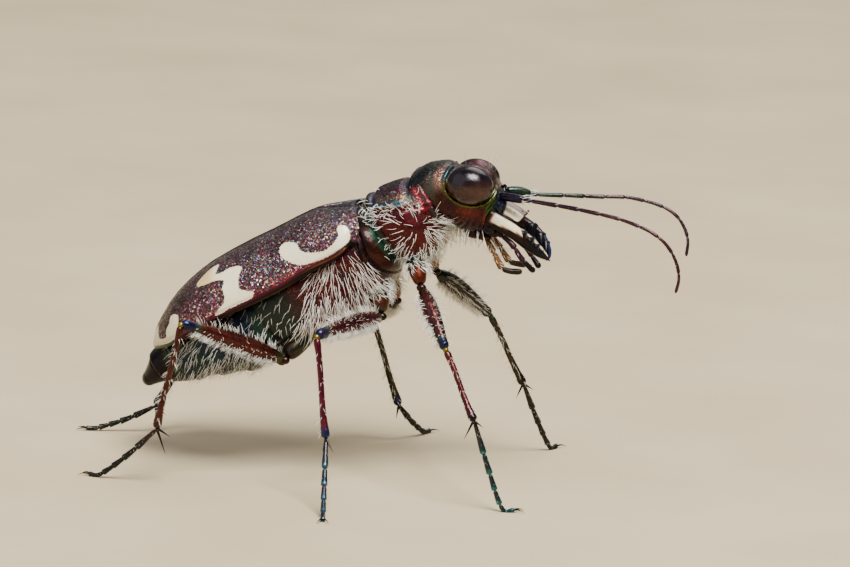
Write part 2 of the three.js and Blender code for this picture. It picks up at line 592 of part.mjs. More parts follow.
trunk.updateMatrix();
const toTrunk = trunk.matrix.clone().invert();
const limbSpaces = []; // what the coat leaves free round the coxae and femora
for (const [pair, { coxaRoot, coxaRadius, thick, ...joints }] of Object.entries(legs))
  for (const side of SIDES) {
    const name = `${pair}_${SIDE_NAME[side]}`;
    const [hip, knee, ankle, toe] = ["hip", "knee", "ankle", "toe"].map((joint) => {
      const [x, y, z] = joints[SIDE_NAME[side]][joint];
      return v3(x, side * y, z);
    });
    const group = new THREE.Group();
    beetle.add(group);

    const root = v3(coxaRoot[0], side * coxaRoot[1], coxaRoot[2]);
    const socket = hip.clone().applyMatrix4(toTrunk);
    const coxaEnd = socket.clone().lerp(root, GAP / socket.distanceTo(root));
    const coxaWidth = (t) => coxaRadius * (t < 0.99 ? 1 : 0.75);
    const coxa = limb(new THREE.LineCurve3(root, coxaEnd), coxaWidth, { rings: [0, 0.3, 0.6, 0.85, 1], sides: 12, flat: 0.9 });
    add(trunk, `coxa_${name}`, cutAway(coxa, ...sockets[pair]), copper);
    const space = (from, to, radius) => limb(new THREE.LineCurve3(from, to), () => radius, { rings: [0, 1], sides: 12 });
    const beyond = coxaEnd.clone().lerp(root, -0.6);
    limbSpaces.push(space(root, beyond, coxaRadius + GAP));
    limbSpaces.push(space(coxaEnd, knee.clone().applyMatrix4(toTrunk), thick + GAP));

    const thigh = hip.distanceTo(knee) - GAP;
    const femurMesh = add(group, `femur_${name}`, femur(thigh, thick), legRed);
    layBetween(femurMesh, hip, knee);
    const shin = knee.clone().lerp(ankle, (GAP + 0.22) / knee.distanceTo(ankle));
    const tibiaMesh = add(group, `tibia_${name}`, tibia(shin.distanceTo(ankle) - GAP), legRed);
    layBetween(tibiaMesh, shin, ankle);
    add(group, `tarsus_${name}`, tarsus(ankle, toe), tarsusBlue);
  }

// The white bristles that clothe the sides of the thorax, as coarse locks in rows.
const seeded = (seed) => () => {
  seed = (seed * 16807) % 2147483647;
  return seed / 2147483647;
};
function sideLocks(body, { columns, rows, lie, lift, length, seed }) {
  const random = seeded(seed);
  return columns.flatMap((x, i) =>
    rows.flatMap((degrees, j) => {
      const shift = j % 2 ? 0.5 * (columns[1] - columns[0]) : 0;
      return SIDES.map((side) => {
        const long = length * (0.88 + 0.24 * random());
        const place = x + shift + 0.08 * (random() - 0.5);
        return lock(body, side, place, rad(degrees), lie(place, degrees), rad(lift(i, j)), long);
      });
    }),
  );
}
const flankLocks = sideLocks(pterothorax, {
  columns: [-0.95, -1.5, -2.05, -2.6, -3.15, -3.65],
  rows: [-4, -27, -48, -66],
  lie: (x, degrees) => v3(-0.45 - 0.1 * x - 0.4 * Math.sin(rad(-degrees)), 0, -1),
  lift: (i, j) => 24 + 5 * j,
  length: 0.95,
  seed: 7,
});
const elytraSpace = new THREE.BoxGeometry(12, 8, 4).translate(-5, 0, 2 + elytraMargin(-0.6) - GAP);
const flankSpaces = [elytraSpace, prothoraxSpace, abdomenSpace, ...limbSpaces];
add(trunk, "pterothorax", dressed(pterothoraxBody, flankLocks, flankSpaces), copper);

const WHORL = { x: 1.75, z: -1.7 }; // the bristles of the prothorax's side spread from here
const neckLocks = sideLocks(prothoraxShape, {
  columns: [0.85, 1.35, 1.85, 2.3],
  rows: [-2, -28, -52, -76],
  lie: (x, degrees) => {
    const here = sectionPoint(x, rad(degrees), prothoraxShape);
    return v3(here.x - WHORL.x + 0.12, 0, here.z - WHORL.z - 0.25);
  },
  lift: (i, j) => 22 + 5 * j,
  length: 0.75,
  seed: 11,
});
const headSpace = grown(headShape, -2.2, 1.4).applyMatrix4(head.matrix);
add(trunk, "prothorax", dressed(prothoraxBody, neckLocks, [headSpace, pterothoraxSpace, ...limbSpaces]), copper);

// Centred over its footprint, with the soles on the floor.
const box = new THREE.Box3().setFromObject(beetle, true);
beetle.position.set(-(box.min.x + box.max.x) / 2, -(box.min.y + box.max.y) / 2, -box.min.z);

const placed = new THREE.Group();
placed.add(beetle);
export default placed;
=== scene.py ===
# A tiger beetle on the floor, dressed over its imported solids. Shapes are made in millimetres, in the beetle's
# own frame, and written in metres in the frame of the solids.
import math

import bpy
import numpy as np
from mathutils import Matrix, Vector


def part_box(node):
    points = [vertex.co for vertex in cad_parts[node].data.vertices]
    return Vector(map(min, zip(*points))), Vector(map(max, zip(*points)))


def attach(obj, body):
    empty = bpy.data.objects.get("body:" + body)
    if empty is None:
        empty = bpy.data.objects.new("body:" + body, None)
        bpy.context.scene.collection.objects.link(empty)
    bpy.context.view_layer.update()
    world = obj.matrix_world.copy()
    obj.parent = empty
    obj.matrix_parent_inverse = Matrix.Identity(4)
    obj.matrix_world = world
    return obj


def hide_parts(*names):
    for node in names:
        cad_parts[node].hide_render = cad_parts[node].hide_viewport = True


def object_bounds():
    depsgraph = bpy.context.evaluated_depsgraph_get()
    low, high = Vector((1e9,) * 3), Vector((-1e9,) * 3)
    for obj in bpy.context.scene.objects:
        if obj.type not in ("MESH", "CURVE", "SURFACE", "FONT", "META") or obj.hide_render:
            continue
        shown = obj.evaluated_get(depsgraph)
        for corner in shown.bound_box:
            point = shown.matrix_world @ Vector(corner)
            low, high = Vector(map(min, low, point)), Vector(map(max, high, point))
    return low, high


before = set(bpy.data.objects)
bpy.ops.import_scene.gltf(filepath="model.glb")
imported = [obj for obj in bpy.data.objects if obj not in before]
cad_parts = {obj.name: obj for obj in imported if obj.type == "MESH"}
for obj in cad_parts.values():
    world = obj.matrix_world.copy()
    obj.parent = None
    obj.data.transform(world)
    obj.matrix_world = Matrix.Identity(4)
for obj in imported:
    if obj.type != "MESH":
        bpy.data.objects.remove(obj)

MM = 0.001
TINY = 1e-12
SIDES = {"right": -1, "left": 1}
PITCH = 36
TRUNK_HEIGHT = 9.18
CAD_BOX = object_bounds()


# Frames


def vector(values):
    return np.asarray(values, float)


def unit(vectors):
    return vectors / (np.linalg.norm(vectors, axis=-1, keepdims=True) + TINY)


def turn(axis, degrees):
    """A rotation about x, y or z."""
    c, s = math.cos(math.radians(degrees)), math.sin(math.radians(degrees))
    i, j = {"x": (1, 2), "y": (2, 0), "z": (0, 1)}[axis]
    matrix = np.eye(3)
    matrix[i, i], matrix[i, j], matrix[j, i], matrix[j, j] = c, -s, s, c
    return matrix


class Home:
    """A local frame: where the trunk, the head or the floor has its origin and axes."""

    def __init__(self, axes, origin):
        self.axes, self.origin = axes, vector(origin)

    def way(self, vectors):
        return vector(vectors) @ self.axes.T

    def out(self, points):
        return self.way(points) + self.origin

    def back(self, points):
        return (points - self.origin) @ self.axes


GROUND = Home(np.eye(3), (0, 0, 0))
TRUNK = Home(turn("y", -PITCH), (0, 0, TRUNK_HEIGHT))
HEAD = Home(TRUNK.axes @ turn("y", 43) @ turn("x", -6) @ turn("z", 4), TRUNK.out((3.66, 0, -1.56)))
SCUTELLUM = {"front": 0.02, "back": -0.85, "half": 0.42, "deep": 0.3}

# The solids are centred by their box, so the shift comes from the one whose corners are known exactly.
low, high = (np.array(corner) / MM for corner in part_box("scutellum"))
lean = math.radians(PITCH)
foremost = SCUTELLUM["front"] * math.cos(lean) + SCUTELLUM["deep"] * math.sin(lean)
SHIFT = np.array([high[0] - foremost, (low[1] + high[1]) / 2, 0])


# Curves, noise and colour


def along(*pairs):
    """A smooth curve through (x, value) pairs with rising x, the same as the solids use."""
    xs, values = np.array(pairs, float).T
    last = len(xs) - 1
    before, after = np.maximum(np.arange(last + 1) - 1, 0), np.minimum(np.arange(last + 1) + 1, last)
    slopes = (values[after] - values[before]) / (xs[after] - xs[before])

    def curve(x):
        i = np.clip(np.searchsorted(xs, x) - 1, 0, last - 1)
        width = xs[i + 1] - xs[i]
        t = np.clip((x - xs[i]) / width, 0, 1)
        rise = t * (1 - t) ** 2 * slopes[i] - t * t * (1 - t) * slopes[i + 1]
        return values[i] + (values[i + 1] - values[i]) * t * t * (3 - 2 * t) + rise * width

    return curve


def catmull(a, b, c, d, f):
    """A Catmull-Rom curve from b to c."""
    return 0.5 * (2 * b + (c - a) * f + (2 * a - 5 * b + 4 * c - d) * f**2 + (3 * b - a - 3 * c + d) * f**3)


def smooth_line(points, count):
    """A curve through points, resampled at even lengths."""
    p = vector(points)
    pad = np.vstack([2 * p[0] - p[1], p, 2 * p[-1] - p[-2]])
    t = np.linspace(0, len(p) - 1, 400)
    i = np.minimum(t.astype(int), len(p) - 2)
    fine = catmull(pad[i], pad[i + 1], pad[i + 2], pad[i + 3], (t - i)[:, None])
    length = np.concatenate([[0], np.cumsum(np.linalg.norm(np.diff(fine, axis=0), axis=1))])
    even = np.linspace(0, length[-1], count)
    return np.stack([np.interp(even, length, fine[:, k]) for k in range(3)], 1)


def rounded(polygon, count=160):
    """A closed curve through a polygon's corners."""
    p = vector(polygon)
    n = len(p)
    t = np.linspace(0, n, count, endpoint=False)
    i = t.astype(int)
    return catmull(p[i - 1], p[i], p[(i + 1) % n], p[(i + 2) % n], (t - i)[:, None])


def straight(a, b, count):
    return a + (b - a) * np.linspace(0, 1, count)[:, None]


def circle(count, phase=0.0):
    """Even angles round a circle."""
    return (np.arange(count) + phase) / count * 2 * math.pi


def cloud(points, size, seed=0):
    """Smooth noise from -1 to 1 whose features are about size across."""
    p = points / size + 1000
    cell = np.floor(p).astype(np.int64)
    f = p - cell
    f = f * f * (3 - 2 * f)
    table = np.random.default_rng(seed).uniform(-1, 1, 4096)
    total = 0
    for corner in np.ndindex(2, 2, 2):
        x, y, z = np.moveaxis(cell + corner, -1, 0)
        weight = np.prod(np.abs(1 - np.array(corner) - f), axis=-1)
        total = total + weight * table[(x * 73856093 ^ y * 19349663 ^ z * 83492791) % 4096]
    return total


def step(x, start, end):
    """0 before start, 1 after end, smooth between; start may be above end."""
    t = np.clip((x - start) / (end - start), 0, 1)
    return t * t * (3 - 2 * t)


def bump(x, middle, width):
    """A smooth peak of height 1 round its middle."""
    return np.exp(-(((x - middle) / width) ** 2))


def rgb(colour):
    """A linear colour from six hex digits; any other colour is handed back."""
    if not isinstance(colour, str):
        return vector(colour)
    value = np.array([int(colour[i : i + 2], 16) / 255 for i in (0, 2, 4)])
    return np.where(value <= 0.04045, value / 12.92, ((value + 0.055) / 1.055) ** 2.4)


def mix(a, b, share):
    share = vector(share)[..., None]
    return rgb(a) * (1 - share) + rgb(b) * share


def paint(tint, *layers):
    """A tint with layers of (colour, share) laid over it in turn."""
    for colour, share in layers:
        tint = mix(tint, colour, share)
    return tint


def distance_to(polygon, x, y):
    """Signed distance from points to a closed polygon, negative inside."""
    best, inside = np.full(x.shape, 1e9), np.zeros(x.shape, bool)
    for (ax, ay), (bx, by) in zip(polygon, np.roll(polygon, -1, axis=0)):
        ex, ey = bx - ax, by - ay
        t = np.clip(((x - ax) * ex + (y - ay) * ey) / (ex * ex + ey * ey), 0, 1)
        best = np.minimum(best, np.hypot(x - ax - t * ex, y - ay - t * ey))
        crosses = (ay > y) != (by > y)
        inside ^= crosses & (x < ex * (y - ay) / (ey if abs(ey) > TINY else TINY) + ax)
    return np.where(inside, -best, best)


# Meshes


class Skin:
    """A grid of points that hairs can be rooted on, wrapped across its columns or not."""

    def __init__(self, points, wrap=True):
        rows = np.gradient(points, axis=0)
        columns = np.roll(points, -1, 1) - np.roll(points, 1, 1) if wrap else np.gradient(points, axis=1)
        normal = unit(np.cross(rows, columns))
        inward = np.sum(normal * (points - points.mean(axis=1, keepdims=True))) < 0
        self.points, self.normal = points, -normal if inward else normal

    def at(self, field, u, v):
        """A field of a wrapped grid, read between its points. u runs down the rows and v round them."""
        rows, columns = field.shape[:2]
        r, c = np.clip(u * (rows - 1), 0, rows - 1.001), v * columns
        i, j = r.astype(int), c.astype(int)
        down, over = (r - i)[:, None], (c - j)[:, None]
        left, right = j % columns, (j + 1) % columns
        top, bottom = (field[k, left] * (1 - over) + field[k, right] * over for k in (i, i + 1))
        return top * (1 - down) + bottom * down


def link(name, data):
    """A new object in the scene."""
    piece = bpy.data.objects.new(name, data)
    bpy.context.scene.collection.objects.link(piece)
    return piece


class Shape:
    """Points, triangles, tints and grain gathered for one mesh."""

    def __init__(self):
        self.points, self.faces, self.tints, self.grains, self.uvs, self.marks = [], [], [], [], [], []

    def put(self, points, faces, tint, grain):
        self.faces.append(faces + sum(map(len, self.points)))
        self.points.append(points)
        self.tints.append(np.pad(tint, ((0, 0), (0, 1)), constant_values=1))
        self.grains.append(grain)

    def put_closed(self, points, faces, tint, grain):
        """A closed surface, turned to face out."""
        a, b, c = np.moveaxis(points[faces], 1, 0)
        self.put(points, faces[:, ::-1] if np.sum(a * np.cross(b, c)) < 0 else faces, tint, grain)

    def closed(self, grid, tint, grain=0.0):
        """A grid wrapped across its columns, closed by a fan over its first and its last row."""
        rows, columns = grid.shape[:2]
        n = rows * columns
        here = np.arange(n).reshape(rows, columns)
        beside = np.roll(here, -1, axis=1)
        a, b, c, d = here[:-1], beside[:-1], here[1:], beside[1:]
        body = np.stack([a, b, c, b, d, c], -1).reshape(-1, 3)
        fans = [(beside[0], here[0], np.full(columns, n)), (here[-1], beside[-1], np.full(columns, n + 1))]
        tint = rgb(tint)
        tint = np.broadcast_to(tint[:, None] if tint.ndim == 2 else tint, grid.shape)
        grain = np.broadcast_to(grain, (rows, columns))[..., None]
        points, tint, grain = (
            np.vstack([field.reshape(n, -1), field[0].mean(axis=0), field[-1].mean(axis=0)])
            for field in (grid, tint, grain)
        )
        self.put_closed(points, np.vstack([body] + [np.stack(fan, 1) for fan in fans]), tint, grain)
        return Skin(grid)

    def make(self, name, material, slot, *nodes):
        """The piece itself, riding the one body, in the place of the nodes named."""
        points = (np.vstack(self.points) + SHIFT) * MM
        points[:, 2] = np.maximum(points[:, 2], 0)
        faces = np.vstack(self.faces)
        mesh = bpy.data.meshes.new(name)
        mesh.from_pydata(points, [], faces, shade_flat=False)
        fields = [("tint", "FLOAT_COLOR", "color", self.tints), ("grain", "FLOAT", "value", self.grains)]
        if self.marks:
            fields.append(("mark", "FLOAT_COLOR", "color", self.marks))
        for key, kind, entry, values in fields:
            mesh.attributes.new(key, kind, "POINT").data.foreach_set(entry, np.vstack(values).ravel())
        if self.uvs:
            places = np.vstack(self.uvs)[faces.ravel()]
            mesh.uv_layers.new(name="OFBake").data.foreach_set("uv", places.ravel())
        mesh.validate()
        mesh.materials.append(MATERIALS[material])
        piece = link(name, mesh)
        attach(piece, "root")
        if nodes:
            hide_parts(*nodes)


def tube(shape, line, radius, tint, sides=16, flat=1.0, up=(0, 0, 1), grain=0.0, rough=0.0):
    """A limb round a line; its radii, and its height over its width, may vary along it."""
    ahead = unit(np.gradient(line, axis=0))
    side = unit(np.cross(ahead, up))
    high = np.cross(side, ahead)
    radius, flat = (np.broadcast_to(value, (len(line),))[:, None, None] for value in (radius, flat))
    angle = circle(sides, 0.5)[:, None]
    grid = line[:, None] + radius * (side[:, None] * np.cos(angle) + flat * high[:, None] * np.sin(angle))
    if rough:
        grid = grid + (grid - line[:, None]) * (rough * cloud(grid, 0.09, 5))[..., None]
    return shape.closed(grid, tint, grain)


def domed(t, radius, start, end):
    """Radii that round off over the first and the last share of a limb."""
    for share in (t / start, (1 - t) / end):
        radius = radius * np.sqrt(np.clip(1 - (1 - np.clip(share, 0, 1)) ** 2, 0.0004, 1))
    return radius


def knob(shape, centre, sizes, tint, home=GROUND, axes=np.eye(3), grain=0.0):
    """An ellipsoid with its own axes, in its home's frame."""
    polar, around = np.linspace(0.04, math.pi - 0.04, 14)[:, None], circle(20)
    ball = [np.cos(polar) + 0 * around, np.sin(polar) * np.cos(around), np.sin(polar) * np.sin(around)]
    shape.closed(home.out(vector(centre) + (np.stack(ball, -1) * sizes) @ axes.T), tint, grain)


def spike(shape, root, tip, radius, tint, bend=(0, 0, 0), sides=8):
    """A bent cone."""
    t = np.linspace(0, 1, 8)[:, None]
    middle = (root + tip) / 2 + bend
    line = (1 - t) ** 2 * root + 2 * t * (1 - t) * middle + t**2 * tip
    ahead = tip - root
    up = (0, 1, 0) if abs(ahead[2]) > 0.8 * np.linalg.norm(ahead) else (0, 0, 1)
    tube(shape, line, radius * (1 - 0.94 * t[:, 0] ** 1.2), tint, sides=sides, up=up)


# Hair


def coat(shape, skin, home, roots, lie, length, seed, lift, wave, radius, spread=12, colour="f2f0ea"):
    """Tapered, bent three-sided hairs at (u, v) roots. lie gives the way they lean, in the home's frame.
    lift is their angle to the skin at root and tip, wave and spread how far they curl and stray, all in
    degrees."""
    random = np.random.default_rng(seed)
    u, v = roots
    n, steps = len(u), 4
    root, normal = skin.at(skin.points, u, v), unit(skin.at(skin.normal, u, v))
    local = home.back(root).T
    lie, length = (value(*local) if callable(value) else value for value in (lie, length))
    towards = home.way(np.broadcast_to(lie, (n, 3))) + 1e-6
    towards = unit(towards - normal * np.sum(towards * normal, axis=1, keepdims=True))
    across = np.cross(normal, towards)
    part = (length * random.uniform(0.7, 1.15, n) / steps)[:, None]
    start, curl = (np.radians(random.normal(0, swing, n))[:, None] for swing in (spread, wave))
    jitter = random.normal(1, 0.18, n)[:, None]
    line = [root - 0.02 * normal]
    for k in range(steps):
        rise = np.radians((lift[0] + (lift[1] - lift[0]) * k / (steps - 1)) * jitter)
        level = towards * np.cos(start + curl * k) + across * np.sin(start + curl * k)
        line.append(line[-1] + part * (level * np.cos(rise) + normal * np.sin(rise)))
    line = np.stack(line, 1)
    ahead = unit(np.gradient(line, axis=1))
    side = unit(np.cross(ahead, normal[:, None]))
    high = np.cross(side, ahead)
    taper = np.multiply.outer(radius * random.uniform(0.75, 1.25, n), [1, 0.95, 0.8, 0.55])[..., None, None]
    angle = circle(3)[:, None]
    around = side[:, :steps, None] * np.cos(angle) + high[:, :steps, None] * np.sin(angle)
    last = 3 * steps
    points = np.concatenate([(line[:, :steps, None] + taper * around).reshape(n, last, 3), line[:, -1:]], 1)
    ring = [(3 * k + s, 3 * k + (s + 1) % 3) for k in range(steps) for s in range(3)]
    faces = [face for a, b in ring[:-3] for face in ((a, b, a + 3), (b, b + 3, a + 3))]
    faces += [(a, b, last) for a, b in ring[-3:]] + [(2, 1, 0)]
    faces = (np.array(faces) + (np.arange(n) * (last + 1))[:, None, None]).reshape(-1, 3)
    tint = np.repeat(mix(colour, "b9b2a6", random.random(n) * 0.5), last + 1, axis=0)
    patch = np.array([(0.001 * s, 0.00075 * k) for k in range(steps) for s in range(3)] + [(0.001, 0.003)])
    uv = 0.002 + 0.993 * np.stack([u, v], 1)[:, None] + patch
    shape.uvs.append(np.clip(uv, 0, 1).reshape(-1, 2))
    shape.put(points.reshape(-1, 3), faces, tint, np.zeros((len(tint), 1)))


def grow(shape, skin, home, chance, count, lie, length, seed, **manner):
    """Hairs at random places on a skin, kept by a chance that depends on their place in its home's frame."""
    random = np.random.default_rng(seed)
    u, v = random.random(count), random.random(count)
    keep = random.random(count) < chance(*home.back(skin.at(skin.points, u, v)).T)
    coat(shape, skin, home, (u[keep], v[keep]), lie, length, seed + 1, **manner)


# Materials


class Nodes:
    """A material's nodes. An input is set to another node's output or to a plain value."""

    def __init__(self, name):
        self.material = bpy.data.materials.new(name)
        self.material.use_nodes = True
        self.tree = self.material.node_tree
        self.shader = self.tree.nodes["Principled BSDF"]
        self.place = self.add("TexCoord").outputs["Object"]

    def feed(self, node, inputs):
        for key, value in inputs.items():
            if isinstance(value, bpy.types.NodeSocket):
                self.tree.links.new(value, node.inputs[key])
            else:
                node.inputs[key].default_value = value

    def add(self, kind, inputs={}, **settings):
        node = self.tree.nodes.new("ShaderNode" + kind)
        for key, value in settings.items():
            setattr(node, key, value)
        self.feed(node, inputs)
        return node

    def shade(self, inputs):
        self.feed(self.shader, inputs)

    def field(self, name, output="Color"):
        return self.add("Attribute", attribute_name=name).outputs[output]

    def noise(self, size, detail, rough=0.5):
        scale = 1 / (size * MM)
        inputs = {"Vector": self.place, "Scale": scale, "Detail": detail, "Roughness": rough}
        return self.add("TexNoise", inputs).outputs["Fac"]

    def cells(self, size, random=1.0):
        inputs = {"Vector": self.place, "Scale": 1 / (size * MM), "Randomness": random}
        return self.add("TexVoronoi", inputs).outputs

    def blend(self, a, b, share=1.0, kind="MULTIPLY"):
        return self.add("Mix", {0: share, 6: a, 7: b}, data_type="RGBA", blend_type=kind).outputs[2]

    def sums(self, operation, a, b, c=0.0):
        return self.add("Math", {0: a, 1: b, 2: c}, operation=operation).outputs[0]

    def vectors(self, operation, inputs):
        return self.add("VectorMath", inputs, operation=operation).outputs[0]

    def span(self, value, a, b, c, d):
        """A value between a and b brought between c and d."""
        ends = {"From Min": a, "From Max": b, "To Min": c, "To Max": d}
        return self.add("MapRange", {"Value": value} | ends).outputs["Result"]

    def ramp(self, value, stops, interpolation="LINEAR"):
        node = self.add("ValToRGB", {"Fac": value})
        node.color_ramp.interpolation = interpolation
        while len(node.color_ramp.elements) < len(stops):
            node.color_ramp.elements.new(0.5)
        for element, (place, colour) in zip(node.color_ramp.elements, stops):
            element.position, element.color = place, (*rgb(colour), 1)
        return node.outputs["Color"]

    def raise_by(self, height, strength, distance, inputs={}):
        """Fine relief, its distance in millimetres."""
        inputs = {"Height": height, "Strength": strength, "Distance": distance * MM} | inputs
        self.shade({"Normal": self.add("Bump", inputs).outputs["Normal"]})


def cuticle(name, spark, share, cell, tilt, pit, rough, metal=0.85, coat=0.1, depth=0.55, marked=False,
            shine=0.5):
    """Beetle cuticle: the mesh's own tint, cells of other colours where its grain is high, each cell a small
    facet with a pit at its middle, and clouds that vary its depth and gloss."""
    n = Nodes(name)
    tint, grain = n.field("tint"), n.field("grain", "Fac")
    cells, drift, dust = n.cells(cell), n.noise(0.9, 4, 0.6), n.noise(0.03, 3, 0.6)
    chance = n.add("SeparateColor", {"Color": cells["Color"]}).outputs
    palette = n.ramp(chance["Red"], [(i / len(spark), code) for i, code in enumerate(spark)], "CONSTANT")
    shown = n.sums("MULTIPLY", n.span(chance["Green"], 1 - share, 1 - share + 0.12, 0, 1), grain)
    colour = n.blend(tint, palette, shown, "MIX")
    low, high = (depth * np.array(shade) for shade in ((0.66, 0.66, 0.7), (1.25, 1.2, 1.15)))
    colour = n.blend(colour, n.ramp(drift, [(0.3, low), (0.7, high)]))
    worn = n.ramp(dust, [(0.3, (0.8, 0.8, 0.82)), (0.7, (1.15, 1.15, 1.12))])
    colour = n.blend(colour, worn)
    if marked:
        ragged = n.sums("SUBTRACT", n.field("mark", "Alpha"), 0.02)
        ivory = n.span(n.sums("MULTIPLY_ADD", cells["Distance"], 0.06, ragged), -0.008, 0.008, 1, 0)
        pale = n.blend(n.field("mark"), worn, 0.5)
        speck = n.span(n.span(cells["Distance"], 0.05, 0.25, 0.75, 1), 0.75, 1, 0.35, 0)
        colour = n.blend(colour, n.blend(pale, (0.35, 0.25, 0.14, 1), speck, "MIX"), ivory, "MIX")
        grain = n.sums("MULTIPLY", grain, n.span(ivory, 0, 1, 1, 0.12))
        metal = n.span(ivory, 0, 1, metal, 0)
    gloss = n.sums("ADD", n.span(drift, 0.3, 0.7, *rough), n.sums("MULTIPLY_ADD", dust, 0.15, -0.075))
    n.shade({"Base Color": colour, "Metallic": metal, "Roughness": gloss, "Specular IOR Level": shine})
    n.shade({"Coat Weight": coat, "Coat Roughness": 0.12})
    leaning = n.vectors("SUBTRACT", {0: cells["Color"], 1: (0.5, 0.5, 0.5)})
    much = n.vectors("SCALE", {0: leaning, "Scale": n.sums("MULTIPLY", grain, tilt)})
    facet = n.vectors("ADD", {0: n.add("NewGeometry").outputs["Normal"], 1: much})
    hollow = n.sums("MULTIPLY", n.span(cells["Distance"], 0.1, 0.5, 0, 1), grain)
    height = n.sums("MULTIPLY_ADD", hollow, pit, n.sums("MULTIPLY", dust, 0.25))
    n.raise_by(height, 0.7, 0.02, {"Normal": n.vectors("NORMALIZE", {0: facet})})
    return n.material


def eye_material():
    """Dark mottled lens with fine six-sided facets under a clear gloss."""
    n = Nodes("eye_lens")
    facets, mottle = n.cells(0.032, 0.35)["Distance"], n.noise(0.3, 5, 0.65)
    shade = n.ramp(mottle, [(0.35, (0.3, 0.28, 0.34)), (0.65, (0.9, 0.86, 0.84))])
    ring = n.ramp(facets, [(0.2, (1.1, 1.1, 1.1)), (0.6, (0.6, 0.6, 0.62))])
    n.shade({"Base Color": n.blend(n.blend(n.field("tint"), shade), ring)})
    n.shade({"Roughness": n.span(mottle, 0.35, 0.65, 0.15, 0.25), "Specular IOR Level": 0.25})
    n.shade({"Coat Weight": 0.15, "Coat Roughness": 0.1})
    n.raise_by(n.span(facets, 0, 0.6, 1, 0), 0.35, 0.006)
    return n.material


def hair_material():
    """White bristles, paler and duller in patches, with a soft gloss."""
    n = Nodes("white_bristle")
    drift = n.noise(0.25, 3)
    shade = n.ramp(drift, [(0.3, (0.8, 0.79, 0.78)), (0.7, (1.08, 1.08, 1.06))])
    n.shade({"Base Color": n.blend(n.field("tint"), shade), "Sheen Weight": 0.3})
    n.shade({"Roughness": n.span(drift, 0.3, 0.7, 0.35, 0.55)})
    n.raise_by(n.noise(0.02, 2), 0.3, 0.003)
    return n.material


SHELL_SPARKS = ("96666c", "a87058", "3f6f80", "7d3b68", "d0a07c", "39302f", "a0486a", "e4d2c6", "4f7a6a",
                "5a4a7a")
TRUNK_SPARKS = ("a0506a", "2b5f73", "c79b63", "23306b", "7c1f3f", "4a7a5a")
HEAD_SPARKS = ("b06a72", "3d6a5c", "c59a72", "2f3f66", "8a3a44", "5c5a3c")
BELLY_SPARKS = ("2c4a50", "3a2f5a", "35504a", "5a3040")
LIMB_SPARKS = ("8a3a36", "2f5a63", "6c2c4a")
MOUTH_SPARKS = ("3a3a5c", "4c3030")
MATERIALS = {
    "shell": cuticle("wing_case_shell", SHELL_SPARKS, 0.66, 0.046, 1.0, 1.0, (0.27, 0.38), coat=0.05,
                     marked=True),
    "trunk": cuticle("body_cuticle", TRUNK_SPARKS, 0.35, 0.042, 0.4, 0.6, (0.28, 0.42)),
    "capsule": cuticle("head_cuticle", HEAD_SPARKS, 0.14, 0.03, 0.3, 0.4, (0.2, 0.3)),
    "belly": cuticle("belly_cuticle", BELLY_SPARKS, 0.35, 0.06, 0.35, 0.5, (0.2, 0.34), coat=0.05),
    "limb": cuticle("limb_cuticle", LIMB_SPARKS, 0.3, 0.05, 0.25, 0.4, (0.2, 0.36), 0.8, 0.12),
    "mouth": cuticle("mouth_cuticle", MOUTH_SPARKS, 0.15, 0.06, 0.1, 0.2, (0.12, 0.22), 0.0, 0.0, 0.8,
                     shine=0.12),
    "eye": eye_material(),
    "hair": hair_material(),
}


# Wing cases

shell_top = along((-8.5, -0.39), (-7.8, 0.17), (-6.8, 0.62), (-5.45, 0.87), (-4.3, 0.85), (-2.88, 0.72),
                  (-1.57, 0.6), (-1, 0.47), (-0.5, 0.23), (0, 0))
shell_margin = along((-8.5, -0.5), (-7.4, -0.65), (-5.4, -0.7), (-4, -0.86), (-3.1, -0.94), (-1.8, -0.98),
                     (-1.2, -1.05), (-0.6, -1.07), (0, -1.0))
shell_half = along((-8.5, 0.22), (-8.2, 0.95), (-7.6, 1.65), (-6.6, 2.22), (-5.2, 2.47), (-3.8, 2.42),
                   (-2.2, 2.28), (-1, 2.16), (-0.35, 2.02), (0, 1.8))

